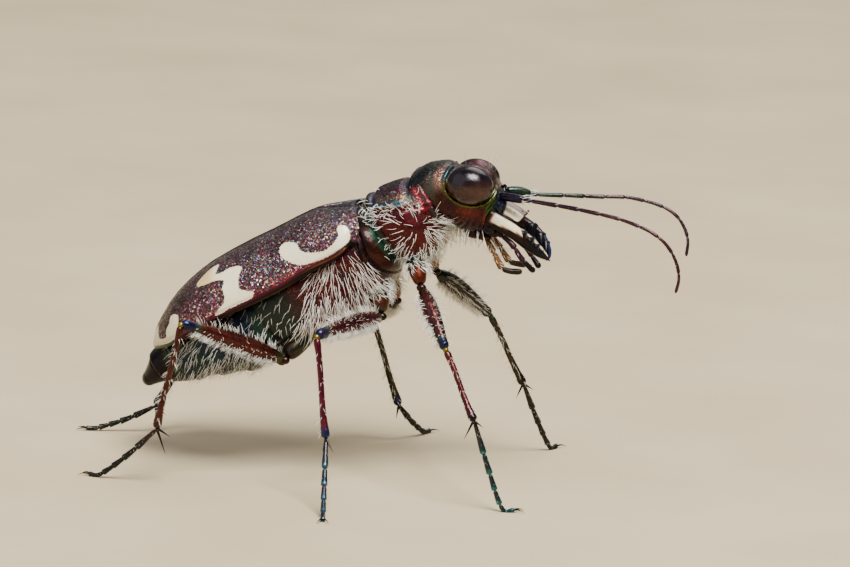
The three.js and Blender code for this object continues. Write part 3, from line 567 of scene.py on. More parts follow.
# The cream marks of one wing case, at the shoulder, the middle and the tip, as (place along the body, arc up
# from the margin).
MARKS = (
    [(-0.46, 0.94), (-0.3, 0.9), (-0.16, 0.66), (-0.1, 0.37), (-0.13, 0.2), (-0.31, 0.17), (-0.6, 0.17),
     (-0.93, 0.15), (-1.35, 0.15), (-1.71, 0.18), (-2.02, 0.27), (-2.22, 0.41), (-2.42, 0.65),
     (-2.53, 0.89), (-2.54, 1.14), (-2.43, 1.33), (-2.23, 1.36), (-2.01, 1.22), (-1.87, 1.03),
     (-1.86, 0.83), (-1.79, 0.66), (-1.6, 0.53), (-1.34, 0.43), (-1.09, 0.39), (-0.85, 0.45), (-0.68, 0.53),
     (-0.56, 0.64), (-0.53, 0.81)],
    [(-4.72, 2.13), (-4.83, 1.71), (-4.86, 1.61), (-4.61, 1.54), (-4.32, 1.58), (-3.98, 1.44),
     (-3.92, 1.27), (-4.07, 1.05), (-4.18, 0.84), (-4.24, 0.59), (-4.09, 0.45), (-3.89, 0.31),
     (-4.01, 0.15), (-4.29, 0.12), (-4.61, 0.12), (-4.92, 0.12), (-5.26, 0.1), (-5.46, 0.13), (-5.34, 0.24),
     (-5.12, 0.32), (-4.95, 0.41), (-4.83, 0.62), (-4.8, 0.87), (-4.69, 1.03), (-4.69, 1.17), (-5.03, 1.32),
     (-5.34, 1.35), (-5.63, 1.49), (-5.66, 1.71), (-5.43, 1.93), (-5.15, 2.13), (-4.92, 2.21)],
    [(-7.02, 0.96), (-6.82, 0.97), (-6.68, 0.81), (-6.71, 0.67), (-6.88, 0.38), (-7.16, 0.13),
     (-7.36, 0.08), (-7.59, 0.07), (-8.07, 0.07), (-8.42, 0.07), (-8.44, 0.15), (-8.38, 0.29),
     (-8.19, 0.66), (-7.76, 0.97), (-7.73, 0.83), (-7.82, 0.4), (-7.79, 0.31), (-7.53, 0.29), (-7.48, 0.41),
     (-7.36, 0.57), (-7.16, 0.72)],
)


def sheet(shape, outer, inner, tint, grain, mark):
    """A closed sheet between two grids of points with the same rows and columns."""
    n = outer[..., 0].size
    here = np.arange(n).reshape(outer.shape[:2])
    a, b, c, d = (corner.ravel() for corner in (here[:-1, :-1], here[:-1, 1:], here[1:, :-1], here[1:, 1:]))
    out = np.concatenate([np.stack([a, b, d], 1), np.stack([a, d, c], 1)])
    rim = np.concatenate([here[0], here[1:, -1], here[-1, -2::-1], here[-2:0:-1, 0]])
    far = np.roll(rim, -1)
    edge = np.concatenate([np.stack([far, rim, rim + n], 1), np.stack([far, rim + n, far + n], 1)])
    shape.marks.append(np.vstack([mark.reshape(n, 4), np.ones((n, 4))]))
    tint = np.vstack([tint.reshape(n, 3), np.full((n, 3), rgb("171215"))])
    points = np.vstack([outer.reshape(n, 3), inner.reshape(n, 3)])
    grain = np.concatenate([grain.ravel(), np.zeros(n)])[:, None]
    shape.put_closed(points, np.vstack([out, out[:, ::-1] + n, edge]), tint, grain)


def wing_case(name, side):
    rows, columns = 230, 100
    u = np.linspace(0, 1, rows)
    x = (-8.5 + 8.66 * (0.65 * u + 0.35 * (1 - np.cos(math.pi * u)) / 2))[:, None]
    notch = SCUTELLUM["back"] - 0.12
    seam = 0.02 + (SCUTELLUM["half"] + 0.05) / (SCUTELLUM["front"] - notch) * np.maximum(0, x - notch)
    angle = np.linspace(0, math.pi / 2, columns)[None]
    half, low, high = shell_half(x), shell_margin(x), shell_top(x)
    y = seam + (half - seam) * np.sin(angle) ** 0.88
    z = low + (high - low) * np.cos(angle) ** 0.88
    corner = np.clip(1 - (z - low) / 0.75, 0, 1) ** 2
    sweep = (0.44 * corner * (y / half) ** 2 - 0.06) * np.maximum(0, 1 + x / 1.5)
    grid = np.stack([x - sweep, side * y, z - 0.12 * np.maximum(0, x) / 0.16], -1)
    arc = np.zeros((rows, columns))
    arc[:, :-1] = np.cumsum(np.linalg.norm(np.diff(grid, axis=1), axis=2)[:, ::-1], axis=1)[:, ::-1]
    from_seam = arc[:, :1] - arc
    place = np.broadcast_to(x, arc.shape)

    relief = 0.035 * (bump(arc, 0.045, 0.035) - bump(arc, 0.14, 0.045)) * (1 - 0.8 * step(place, -0.5, 0))
    relief += 0.02 * bump(from_seam, 0.05, 0.05) - 0.015 * bump(from_seam, 0.15, 0.06)
    relief += 0.035 * bump(place, -0.7, 0.35) * bump(arc, 1, 0.3)
    relief -= 0.03 * bump(place, -0.75, 0.3) * bump(arc, 1.6, 0.25)
    relief += 0.014 * np.sin(place * 2 * math.pi / 0.1) * bump(arc, 0.26, 0.06)
    relief += 0.01 * cloud(grid, 0.9, 1) + 0.006 * cloud(grid, 0.3, 2) + 0.004 * cloud(grid, 0.1, 3)
    relief *= 0.25 + 0.75 * step(place, -8.5, -8.2)
    grid = grid + upward(grid) * relief[..., None]

    # The margin rolls under into the narrow epipleuron.
    rim = place[:, -1]
    width = (0.4 + 0.6 * step(rim, -7.5, -3)) * (1 - 0.75 * step(rim, -1.6, -0.1))
    curl = [(0.012, -0.035), (0, -0.07), (-0.05, -0.1), (-0.13, -0.1), (-0.22, -0.06), (-0.3, 0)]
    roll = [grid[:, -1] + width[:, None] * (0, side * out, up) for out, up in curl]
    outer = np.concatenate([grid, np.stack(roll, 1)], 1)
    thick = np.r_[np.full(columns, 0.1), np.full(len(curl), 0.03)][:, None]
    inner = outer - upward(outer, columns) * thick * (0.3 + 0.7 * step(x, -8.5, -8))[..., None]

    share = from_seam / (arc[:, :1] + 1e-6)
    band = step(arc, 0.36, 0.22) * step(place, -0.6, -1.2) * step(place, -7.1, -6.3)
    tint = paint(
        mix("463840", "573b47", step(share, 0.05, 0.4)),
        ("24444e", step(place, -1.3, -0.1) * step(arc, 0.8, 1.6) * 0.8),
        ("2a181d", step(place, -5.5, -7) * step(arc, 0.5, 1.3)),
        ("6d3242", step(place, -7.2, -6.2) * step(place, -4.6, -5.4) * step(arc, 1.4, 0.7)),
        ("bc3458", band * (0.75 + 0.25 * cloud(grid, 0.25, 4))),
        ("17100f", step(arc, 0.15, 0.1)),
        # Painted highlight: an orange-gold line along the margin's bead in the front third.
        ("96502a", bump(arc, 0.05, 0.022) * step(place, -2.6, -1.6) * step(place, 0, -0.4) * 0.9),
        ("6a1f30", bump(arc, 0.06, 0.03) * step(place, -1.6, -2.8) * 0.8),
        ("2f6a35", step(arc, 0.09, 0.05) * step(place, -7.2, -7.6)),
    )
    grain = (1 - 0.45 * step(place, -5.4, -7.4) * step(arc, 0.4, 0.9)) * step(arc, 0.1, 0.2)
    grain *= 0.35 + 0.65 * step(share, 0.02, 0.18)
    distance = np.min([distance_to(rounded(ring), place, arc) for ring in MARKS], axis=0)
    ivory = mix("d0c6a8", "c2a572", step(place, -4.85, -5.2) * step(arc, 1.15, 1.45))
    ivory = mix(ivory, "e6e0cc", bump(place, -0.3, 0.3) * 0.8)
    # The rolled-under margin has a painted gold highlight across its curve, towards the rear.
    painted_rim_highlight = np.array([0.1, 0.6, 0.9, 0.5, 0.2, 0]) * step(x, -2.2, -3.4)
    tint = np.concatenate([tint, mix("1b1314", "5d4a24", painted_rim_highlight)], 1)
    grain = np.pad(grain, ((0, 0), (0, len(curl))))
    mark = np.pad(np.dstack([ivory, distance]), ((0, 0), (0, len(curl)), (0, 0)), constant_values=1)
    shape = Shape()
    sheet(shape, TRUNK.out(outer), TRUNK.out(inner), tint, grain, mark)
    shape.make(f"wing_case_{name}", "shell", "elytra", f"elytron_{name}")


def upward(grid, columns=None):
    """The normals of an open grid, turned so that those of its first columns mostly point up."""
    normal = Skin(grid, wrap=False).normal
    return normal if np.mean(normal[:, :columns, 2]) > 0 else -normal


def scutellum():
    """The small triangle between the wing cases' front ends, slightly domed."""
    t = np.linspace(0, 1, 30)[:, None]
    across = np.linspace(-1, 1, 24)[None]
    x = SCUTELLUM["front"] - 0.02 + (SCUTELLUM["back"] - SCUTELLUM["front"]) * t + 0 * across
    width = SCUTELLUM["half"] * (1 - t) ** 0.85 + 0.01
    crown = shell_top(x) + 0.05 * (1 - across**2) * (1 - t) + 0.01
    upper = np.stack([x, width * across, crown], -1)
    ring = np.concatenate([upper, upper[:, ::-1] - (0, 0, 0.25)], 1)
    shape = Shape()
    shape.closed(TRUNK.out(ring), mix("23303c", "4b2a3c", step(cloud(ring, 0.2, 9), -0.5, 0.6)), 0.7)
    shape.make("scutellum_plate", "trunk", "elytra", "scutellum")


for name, side in SIDES.items():
    wing_case(name, side)
scutellum()


# Trunk


def sections(x, sides, half, top, middle, bottom, roundness):
    """Rings across the body: widest at middle, each with its own height above it and depth below it."""
    x, angle = x[:, None], circle(sides, 0.5)
    across, up = (np.sign(share) * np.abs(share) ** roundness for share in (np.cos(angle), np.sin(angle)))
    reach = np.where(up > 0, top(x) - middle(x), middle(x) - bottom(x))
    return np.stack([x + 0 * angle, half(x) * across, middle(x) + reach * up], -1)


def raised(grid, relief):
    """The grid moved out along its own normals."""
    return grid + Skin(grid).normal * relief[..., None]


def dress(name, grid, tint, grain, material, slot, node):
    """One piece of the trunk, a single closed skin, which is handed back."""
    shape = Shape()
    skin = shape.closed(TRUNK.out(grid), tint, grain)
    shape.make(name, material, slot, node)
    return skin


def neck_shield():
    half = along((0.3, 1.12), (0.45, 1.26), (0.6, 1.4), (1, 1.58), (1.5, 1.64), (2, 1.5), (2.3, 1.34),
                 (2.5, 1.4), (2.57, 1.37), (2.62, 1.24))
    top = along((0.3, -0.12), (0.45, -0.05), (0.6, 0.02), (0.8, -0.08), (1, 0), (1.45, -0.07),
                (1.83, -0.17), (2, -0.3), (2.2, -0.24), (2.4, -0.14), (2.52, -0.13), (2.62, -0.26))
    middle = along((0.3, -1.3), (2.62, -1.35))
    bottom = along((0.3, -2.3), (0.45, -2.5), (0.7, -2.78), (1.3, -2.95), (1.9, -2.8), (2.2, -2.6),
                   (2.62, -2.25))
    grid = sections(np.linspace(0.3, 2.62, 126), 220, half, top, middle, bottom, 0.86)
    x, y, z = np.moveaxis(grid, -1, 0)
    x -= 0.26 * bump(z, -1, 0.75) * step(x, 1.2, 0.3) * step(np.abs(y), 0.6, 1.2)
    ridge = neck_ridge(x)
    above, off = step(z, ridge - 0.02, ridge + 0.1), z - ridge
    relief = 0.06 * bump(off, 0, 0.05) * (x > 0.55) - 0.035 * bump(off, -0.12, 0.05)
    relief -= (0.04 * bump(x, 0.82, 0.08) + 0.035 * bump(x, 2.06, 0.07) - 0.025 * bump(x, 2.28, 0.07)) * above
    relief -= 0.025 * bump(y, 0, 0.05) * (z > -0.6) * step(x, 0.8, 1) * step(x, 2.1, 1.95)
    creases = np.sin((y + 0.08 * cloud(grid, 0.3, 21)) * 2 * math.pi / 0.13) * 0.008
    relief += (creases + 0.012 * cloud(grid, 0.09, 22)) * above * step(x, 0.85, 1) * step(x, 2.05, 1.9)
    relief += 0.07 * bump(off, -0.85, 0.45) * bump(x, 1.5, 0.5) * (1 - above) + 0.01 * cloud(grid, 0.35, 23)
    relief -= 0.06 * bump(x, 0.62, 0.05) * (1 - above) * (z > -2.6)
    grid = raised(grid, relief)
    gilded = above * step(off, 0.55, 0.1) * step(x, 0.4, 0.8)
    tint = paint(
        mix("560f1a", "5e2012", step(off, -1, -1.9) * 0.8),
        ("1f4a33", step(z, -2.45, -2.8)),
        ("254b43", step(x, 0.72, 0.5) * (1 - above)),
        ("4a2238", above),
        ("2c1c26", above * step(np.abs(y), 0.8, 0.2)),
        (mix("2f7486", "c59a5a", step(cloud(grid, 0.12, 24), -0.3, 0.4)), gilded * 0.85),
        ("14100f", above * (step(x, 0.72, 0.6) + bump(x, 2.24, 0.08)) * 0.75),
        ("14246a", above * bump(x, 0.8, 0.1) * 0.95),
        ("141f48", above * bump(x, 2.07, 0.09) * 0.8),
        ("b01e3a", step(x, 2.16, 2.26) * step(np.abs(y), 0.4, 0.9) * (z > -1.4)),
        ("1d4a4a", bump(x, 2.5, 0.06) * 0.8),
    )
    grain = np.clip(above + gilded * 0.4, 0, 1) * (1 - 0.5 * bump(x, 0.8, 0.1)) * step(x, 0.68, 0.8)
    return dress("neck_shield", grid, tint, grain + 0.12 * (1 - above), "trunk", "thorax", "prothorax")


def neck_ridge(x):
    """The height of the shield's side edge along the body."""
    return -0.42 - 0.44 * (x - 0.7)


def mid_body():
    half = along((-4.5, 1.82), (-4.1, 1.88), (-3, 1.93), (-1.5, 1.88), (-0.6, 1.78), (-0.1, 1.72),
                 (0.25, 1.6), (0.7, 1.1))
    top = along((-4.5, 0.0), (-4.1, 0.08), (-2.88, 0), (-1.57, -0.13), (-1, -0.1), (-0.5, -0.1),
                (-0.1, -0.12), (0.2, -0.25), (0.7, -0.6))
    middle = along((-4.5, -1.5), (-1, -1.45), (0.7, -1.5))
    bottom = along((-4.5, -3.0), (-4.1, -3.08), (-3, -3.25), (-1.8, -3.3), (-0.8, -3.12), (0, -2.8),
                   (0.3, -2.6), (0.7, -2.1))
    grid = sections(np.linspace(-4.5, 0.7, 200), 220, half, top, middle, bottom, 0.9)
    x, _, z = np.moveaxis(grid, -1, 0)
    seam_a = -0.02 - 0.12 * bump(z, -1.7, 0.5) + 0.2 * step(z, -2.1, -2.9)
    seam_b = seam_a - 0.22 - 0.12 * step(z, -1.4, -2.6)
    low_seam = -2.55 + 0.04 * (x + 2.3)
    side = step(z, -0.3, -0.6)
    relief = -0.09 * bump(x - seam_a, 0, 0.035) * side - 0.07 * bump(x - seam_b, 0, 0.04) * side
    relief -= 0.06 * bump(z - low_seam, 0, 0.05) * step(x, -0.4, -0.9)
    relief += 0.03 * step(x, seam_a, seam_a + 0.15) * step(x, 0.55, 0.3) * side * bump(z, -1.8, 0.8)
    relief += 0.03 * bump(x - seam_b, -0.1, 0.08) * side
    relief += 0.012 * cloud(grid, 0.5, 31) + 0.005 * cloud(grid, 0.1, 32)
    grid = raised(grid, relief)
    plate = step(x, seam_a - 0.02, seam_a + 0.05)
    orange = paint(
        mix("4a200a", "40120a", step(z, -1.2, -2.2)),
        ("34140c", bump(x - seam_a, 0.04, 0.09)),
        # Painted shadow: the plate darkens towards its top, under the wing case's corner.
        ("240c08", step(z, -1.7, -1.2)),
    )
    tint = paint(
        mix("641720", "3a1a2a", step(cloud(grid, 0.6, 33), -0.2, 0.8)),
        ("1c3a36", step(x, -2.7, -3.5) * 0.9),
        ("6b2b16", step(z, low_seam + 0.05, low_seam - 0.2) * 0.7),
        ("1f3d31", step(z, -2.9, -3.15) * 0.8),
        ("2a1214", step(x, seam_b - 0.05, seam_b + 0.02) * (1 - plate) * 0.9),
        (orange, plate),
        ("1c5a45", step(x, 0.26, 0.4) * (z < -0.9) * 0.9),
        ("14100f", step(z, -0.75, -0.45)),
    )
    grain = 0.3 * (1 - plate) * step(x, -3.5, -2.7) + 0.05
    return dress("mid_body", grid, tint, grain, "trunk", "thorax", "pterothorax")


def belly():
    top = along((-9.55, -1.26), (-9.42, -1.12), (-9.0, -0.84), (-8.75, -0.66), (-8.45, -0.52), (-7.8, -0.3),
                (-6.8, -0.05), (-5.45, 0.12), (-4.4, 0.1))
    half = along((-9.55, 0.08), (-9.48, 0.26), (-9.3, 0.48), (-8.75, 0.78), (-8.2, 1), (-7.6, 1.35),
                 (-6.6, 1.78), (-5.4, 1.95), (-4.4, 1.85))
    middle = along((-9.55, -1.32), (-8.4, -1.25), (-7.4, -1.35), (-5.5, -1.5), (-4.4, -1.5))
    bottom = along((-9.55, -1.38), (-9.48, -1.46), (-9.3, -1.56), (-8.7, -1.74), (-8.1, -2.12),
                   (-7.4, -2.32), (-6.7, -2.6), (-5.7, -3), (-5, -3.1), (-4.4, -3.0))
    grid = sections(np.linspace(-9.55, -4.4, 200), 180, half, top, middle, bottom, 0.92)
    x, _, z = np.moveaxis(grid, -1, 0)
    along_body = x + 0.12 * (z + 2)
    relief = 0.012 * cloud(grid, 0.4, 41)
    margin = np.zeros(x.shape)
    for end in (-9.52, -8.6, -7.75, -6.9, -6.05, -5.2):
        relief += 0.055 * step(along_body, end + 0.42, end) * (along_body > end)
        relief -= 0.03 * bump(along_body, end - 0.03, 0.035)
        margin = np.maximum(margin, bump(along_body, end + 0.02, 0.035))
    relief -= 0.05 * bump(z, -1.62 + 0.1 * (x + 7), 0.05) * step(x, -8.8, -8.3)
    grid = raised(grid, relief * step(x, -9.55, -9.35))
    tint = paint(
        mix("173048", "174238", step(cloud(grid, 0.5, 42), -0.3, 0.3)),
        ("2a1846", step(z, -1.8, -2.3) * step(x, -5.6, -6.6) * 0.8),
        ("1d1317", step(x, -7.8, -8.4)),
        ("3b1f1a", margin * 0.8),
        ("6a5626", step(z, -1.2, -0.8) * step(x, -7.4, -6.4) * 0.55),
    )
    return dress("belly", grid, tint, 0.5 * step(x, -8.6, -7.6) + 0.1, "belly", "abdomen", "abdomen")


neck_skin = neck_shield()
mid_skin = mid_body()
belly_skin = belly()


# Head

EYE = {"x": 0.1, "y": 1.34, "z": 0.18, "long": 0.78, "out": 0.6, "high": 0.64}
JAWS = {
    "right": [(0.86, -0.92, -0.78), (1.36, -1.02, -0.94), (1.81, -0.95, -1.12), (2.22, -0.72, -1.4),
              (2.66, -0.42, -1.68), (3.1, -0.02, -1.94)],
    "left": [(0.9, 0.85, -0.7), (1.53, 0.92, -0.82), (1.92, 0.98, -0.96), (2.3, 0.95, -1.12),
             (2.64, 0.85, -1.34), (2.9, 0.6, -1.6), (3.02, 0.3, -1.82), (2.96, 0.02, -1.97)],
}
OUTER_PALPS = {
    "right": [(1.2, -0.7, -1.2), (1.36, -0.75, -1.31), (1.78, -0.9, -1.52), (2.21, -0.95, -1.94),
              (2.71, -0.9, -2.3)],
    "left": [(1.4, 0.75, -1.3), (1.89, 0.85, -1.55), (2.24, 0.95, -1.84), (2.49, 0.95, -2.1),
             (2.75, 0.9, -2.35)],
}
INNER_PALPS = {
    "right": [(0.88, -0.35, -1.55), (1.21, -0.5, -1.94), (1.57, -0.55, -2.38), (1.85, -0.52, -2.47),
              (2.28, -0.45, -2.42)],
    "left": [(1.02, 0.35, -1.56), (1.34, 0.45, -1.86), (1.71, 0.5, -2.25), (1.95, 0.48, -2.3),
             (2.32, 0.45, -2.28)],
}
FEELERS = {
    "right": [(1.01, -0.58, -0.06), (1.5, -0.75, -0.03), (2, -0.9, 0), (3.38, -1.3, 0.07),
              (4.36, -1.6, 0.09), (5.18, -1.8, 0.07), (5.87, -2, -0.02), (6.4, -2.1, -0.16),
              (6.9, -2.1, -0.46), (7.29, -2.1, -0.93), (7.48, -2, -1.46), (7.46, -1.9, -1.98)],
    "left": [(1.15, 0.58, 0.02), (1.6, 0.75, 0.08), (2.07, 0.9, 0.04), (3.35, 1.3, 0.2), (4.2, 1.6, 0.3),
             (5.06, 1.8, 0.43), (5.74, 2, 0.41), (6.3, 2.1, 0.33), (6.78, 2.1, 0.15), (7.14, 2.1, -0.18),
             (7.38, 2, -0.62), (7.43, 1.9, -1.15)],
}
# Knobs on either side of the mouth: the maxillae's lobes, the clypeus's corners and the cheeks' ends.
LOBES = [
    ((0.95, 0.72, -1.12), (0.26, 0.22, 0.26), "1a1424"), ((1.12, 0.62, -1.3), (0.24, 0.16, 0.16), "24121a"),
    ((0.78, 0.5, -1.5), (0.3, 0.16, 0.14), "3a1a14"), ((1.2, 0.5, -0.32), (0.17, 0.2, 0.2), "16265c"),
    ((0.98, 0.9, -0.72), (0.17, 0.12, 0.2), "2a1416"),
]


def capsule():
    half = along((-1.95, 0.8), (-1.6, 1.02), (-1.3, 1.14), (-0.9, 1.25), (-0.2, 1.22), (0.5, 1.12),
                 (0.95, 0.98), (1.25, 0.76))
    top = along((-1.95, 0.05), (-1.6, 0.42), (-1.27, 0.6), (-0.89, 0.71), (-0.48, 0.72), (-0.15, 0.84),
                (0.13, 0.93), (0.45, 0.9), (0.72, 0.74), (1.05, 0.27), (1.25, -0.12))
    middle = along((-1.95, -0.3), (-0.5, -0.25), (0.6, -0.25), (1.25, -0.45))
    bottom = along((-1.95, -0.7), (-1.2, -1.15), (-0.5, -1.36), (0.2, -1.48), (0.8, -1.44), (1.1, -1.15),
                   (1.25, -0.9))
    t = np.linspace(0, 1, 150)
    rows = -1.95 + 3.2 * (0.8 * t + 0.2 * np.sin(t * math.pi / 2))
    grid = sections(rows, 240, half, top, middle, bottom, 0.8)
    x, y, z = np.moveaxis(grid, -1, 0)
    z -= 0.22 * np.clip(1 - (y / 0.95) ** 2, 0, 1) * np.clip(1 - ((x - 0.25) / 0.95) ** 2, 0, 1) * (z > 0)
    y = np.abs(y)
    wide = np.hypot((x - EYE["x"]) / (EYE["long"] + 0.02), (z - EYE["z"]) / (EYE["high"] + 0.02))
    off = (wide - 1) * 0.7
    flank = step(y, 0.5, 0.8)
    relief = (0.06 + 0.03 * step(z, 0.2, 0.6)) * bump(off, 0.07, 0.055) * flank
    relief -= 0.04 * bump(off, 0, 0.035) * flank
    relief += 0.26 * bump(y, 0.96, 0.2) * bump(x, 0.18, 0.5) * step(z, 0.3, 0.6)
    between = step(y, 0.95, 0.8) * step(z, 0.3, 0.5) * step(x, -0.5, -0.2) * step(x, 0.95, 0.75)
    relief += 0.012 * np.sin(y * 2 * math.pi / 0.085 + 2 * cloud(grid, 0.5, 51)) * between
    relief += 0.012 * cloud(grid, 0.09, 52) * step(x, 0.4, -0.3) + 0.012 * cloud(grid, 0.45, 53)
    gena = step(z, 0, -0.3) * flank * step(x, -0.9, -0.5)
    relief += 0.016 * np.sin((x * 0.8 - z * 0.3) * 2 * math.pi / 0.17 + 2.5 * cloud(grid, 0.35, 54)) * gena
    relief -= 0.05 * bump(x + 0.35 * z, 0.88, 0.04) * flank * (z < -0.35)
    relief -= 0.05 * bump(x, 1.06, 0.035) * (z < 0.2) * (z > -0.6)
    relief -= 0.05 * bump(z + 0.55 - 0.25 * (x + 1), -0.62, 0.05) * step(x, 0.3, -0.4) * flank
    grid = raised(grid, relief)

    patch = bump(x, -0.9, 0.22) * bump(z, 0.18, 0.4) * flank
    red = step(z, 0, -0.35) * step(x, -1.25, -0.8) * step(z, -1.5, -1.3)
    tint = paint(
        mix("3a4c43", "755845", step(cloud(grid, 0.5, 55), -0.4, 0.5)),
        # Painted shade: the back of the head darkens where it goes into the neck shield.
        ("161c24", step(x, -1.2, -1.55)),
        ("553439", step(z, 0.25, 0.6) * step(x, -1.1, -0.4)),
        ("e8a48c", patch * (0.75 + 0.25 * cloud(grid, 0.08, 56))),
        ("c0a050", bump(x, -0.78, 0.07) * bump(z, 0.05, 0.2) * flank * 0.7),
        ("8e3a4c", step(off, 0.34, 0.12) * step(z, 0.35, 0.62) * step(y, 0.6, 0.85) * 0.9),
        ("1f6a72", bump(off, 0.08, 0.09) * flank * step(x, -0.3, -0.55) * step(z, -0.1, 0.3)),
        ("5a2a1c", step(x, 0.45, 0.9) * step(z, -0.1, 0.3) * 0.6),
        (mix("401412", "300c1c", step(cloud(grid, 0.4, 57), -0.3, 0.5)), red),
        # Painted highlight: a soft copper glint on the middle of the red cheek.
        ("7e2c28", red * bump(x, 0.2, 0.35) * bump(z, -0.7, 0.2) * 0.6),
        ("a04a36", red * bump(x, 0.78, 0.06) * bump(z, -0.95, 0.22) * 0.8),
        ("2f5a2a", bump(off, 0.09, 0.045) * flank * step(z, 0.35, 0) * 0.9),
        ("c0a040", bump(off, 0.05, 0.022) * flank * step(z, 0.2, -0.1) * 0.9),
        ("5a7a24", bump(x + 0.2 * z, 0.72, 0.09) * flank * step(z, 0.15, -0.1) * step(z, -0.9, -0.6) * 0.8),
        ("1f4c33", step(x, 0.78, 0.92) * flank * (z < 0.15) * 0.75),
        ("16382e", step(z, -1.1, -1.35) * step(x, 0.2, -0.4)),
        ("15204a", step(x, 1.04, 1.12) * (z < 0.25) * (z > -0.75) * 0.9),
    )
    grain = 0.8 * step(x, 0.9, 0.5) * step(z, -0.5, 0) + 0.3 * gena
    shape = Shape()
    skin = shape.closed(HEAD.out(grid), tint, np.clip(grain, 0, 1))
    mentum(shape)
    for name, side in SIDES.items():
        for centre, size, code in LOBES:
            knob(shape, np.multiply(centre, (1, side, 1)), size, code, HEAD, grain=0.15)
        socket(shape, vector(FEELERS[name][0]), side)
    shape.make("head_capsule", "capsule", "head", "head")
    return skin


def mentum(shape):
    """The plate under the mouth."""
    top, middle = along((0, -1.2), (1, -1.2)), along((0, -1.4), (1, -1.42))
    bottom = along((0.08, -1.5), (0.25, -1.66), (0.8, -1.64), (0.98, -1.5))
    half = along((0, 0.3), (0.3, 0.46), (0.98, 0.5))
    plate = sections(0.08 + 0.9 * np.linspace(0, 1, 40), 48, half, top, middle, bottom, 0.7)
    shape.closed(HEAD.out(plate), mix("3a1512", "1c1012", step(cloud(plate, 0.2, 58), -0.3, 0.4)), 0.1)


def socket(shape, centre, side):
    """The ring that a feeler stands in."""
    around = np.linspace(0, 2 * math.pi, 40)[:, None]
    out = unit(np.array([0.86, side * 0.42, 0.1]))
    level = unit(np.cross(out, (0, 0, 1)))
    ring = centre - 0.02 * out + 0.17 * (np.cos(around) * level + np.sin(around) * np.cross(level, out))
    tube(shape, HEAD.out(ring), 0.05, "1c1430", sides=10, up=HEAD.way(out))


def eye(name, side):
    polar, around = np.linspace(0.03, math.pi - 0.03, 60)[:, None], circle(90)
    x, y, z = np.sin(polar) * np.cos(around), np.cos(polar) + 0 * around, np.sin(polar) * np.sin(around)
    ball = np.stack([x, side * y, z], -1) * (EYE["long"], EYE["out"], EYE["high"])
    grid = np.array([EYE["x"], side * EYE["y"], EYE["z"]]) + ball
    tint = mix("150c18", "48291f", step(z - 0.35 * x + 0.25 * cloud(grid, 0.35, 61), 0.5, -0.5))
    shape = Shape()
    # Painted shade: the eye darkens round its rim, where it meets the head.
    shape.closed(HEAD.out(grid), mix(tint, "160d0c", step(np.abs(y), 0.5, 0.3)))
    shape.make(f"eye_ball_{name}", "eye", "eyes", f"eye_{name}")


def upper_lip():
    """The labrum: an arched plate, cream at its sides, with a brown toothed edge; its top is painted grey as
    shadow and its lower face painted darker as shade.
    """
    t = np.linspace(0, 1, 60)[:, None]
    v = np.linspace(-1, 1, 90)[None]
    across = 0.62 * v * (1 - 0.1 * t**2)
    teeth = 0.06 * bump(v, 0, 0.07) + 0.03 * (bump(v, 0.3, 0.06) + bump(v, -0.3, 0.06))
    x = 1.3 + (0.5 + 0.24 * np.sqrt(1 - v**2) + teeth) * t
    z = -0.2 - 0.3 * (x - 1.3) - 1.2 * across**2 - 0.08 * t**3
    upper = np.stack([x, across, z], -1)
    ring = np.concatenate([upper, (upper - 0.07 * upward(upper))[:, ::-1]], 1)
    side = np.abs(across)
    border = np.maximum(step(t, 0.93, 0.98), step(side, 0.565, 0.59))
    tint = paint(
        # Painted shadow: grey over the middle of the top, cream at the sides.
        mix("6f6862", "e6dcc2", step(side, 0.3, 0.36)),
        ("3a1c10", np.clip(border + step(t, 0.1, 0.04) * 0.8, 0, 1)),
        ("2a1510", bump(np.hypot(x - 1.66, side - 0.42), 0, 0.025)),
    )
    shape = Shape()
    # The lower face is a darker copy of the upper one: painted shade.
    shape.closed(HEAD.out(ring), np.concatenate([tint, tint[:, ::-1] * 0.6], 1))
    for k in (-0.3, 0, 0.3):
        tip = np.array([2 - 0.12 * abs(k) + 0.14 * (k == 0), k * 0.64, -0.46 - 1.2 * (k * 0.64) ** 2])
        spike(shape, HEAD.out(tip + (-0.1, 0, 0.03)), HEAD.out(tip), 0.045, "3a1c12")
    shape.make("upper_lip", "mouth", "labrum", "labrum")


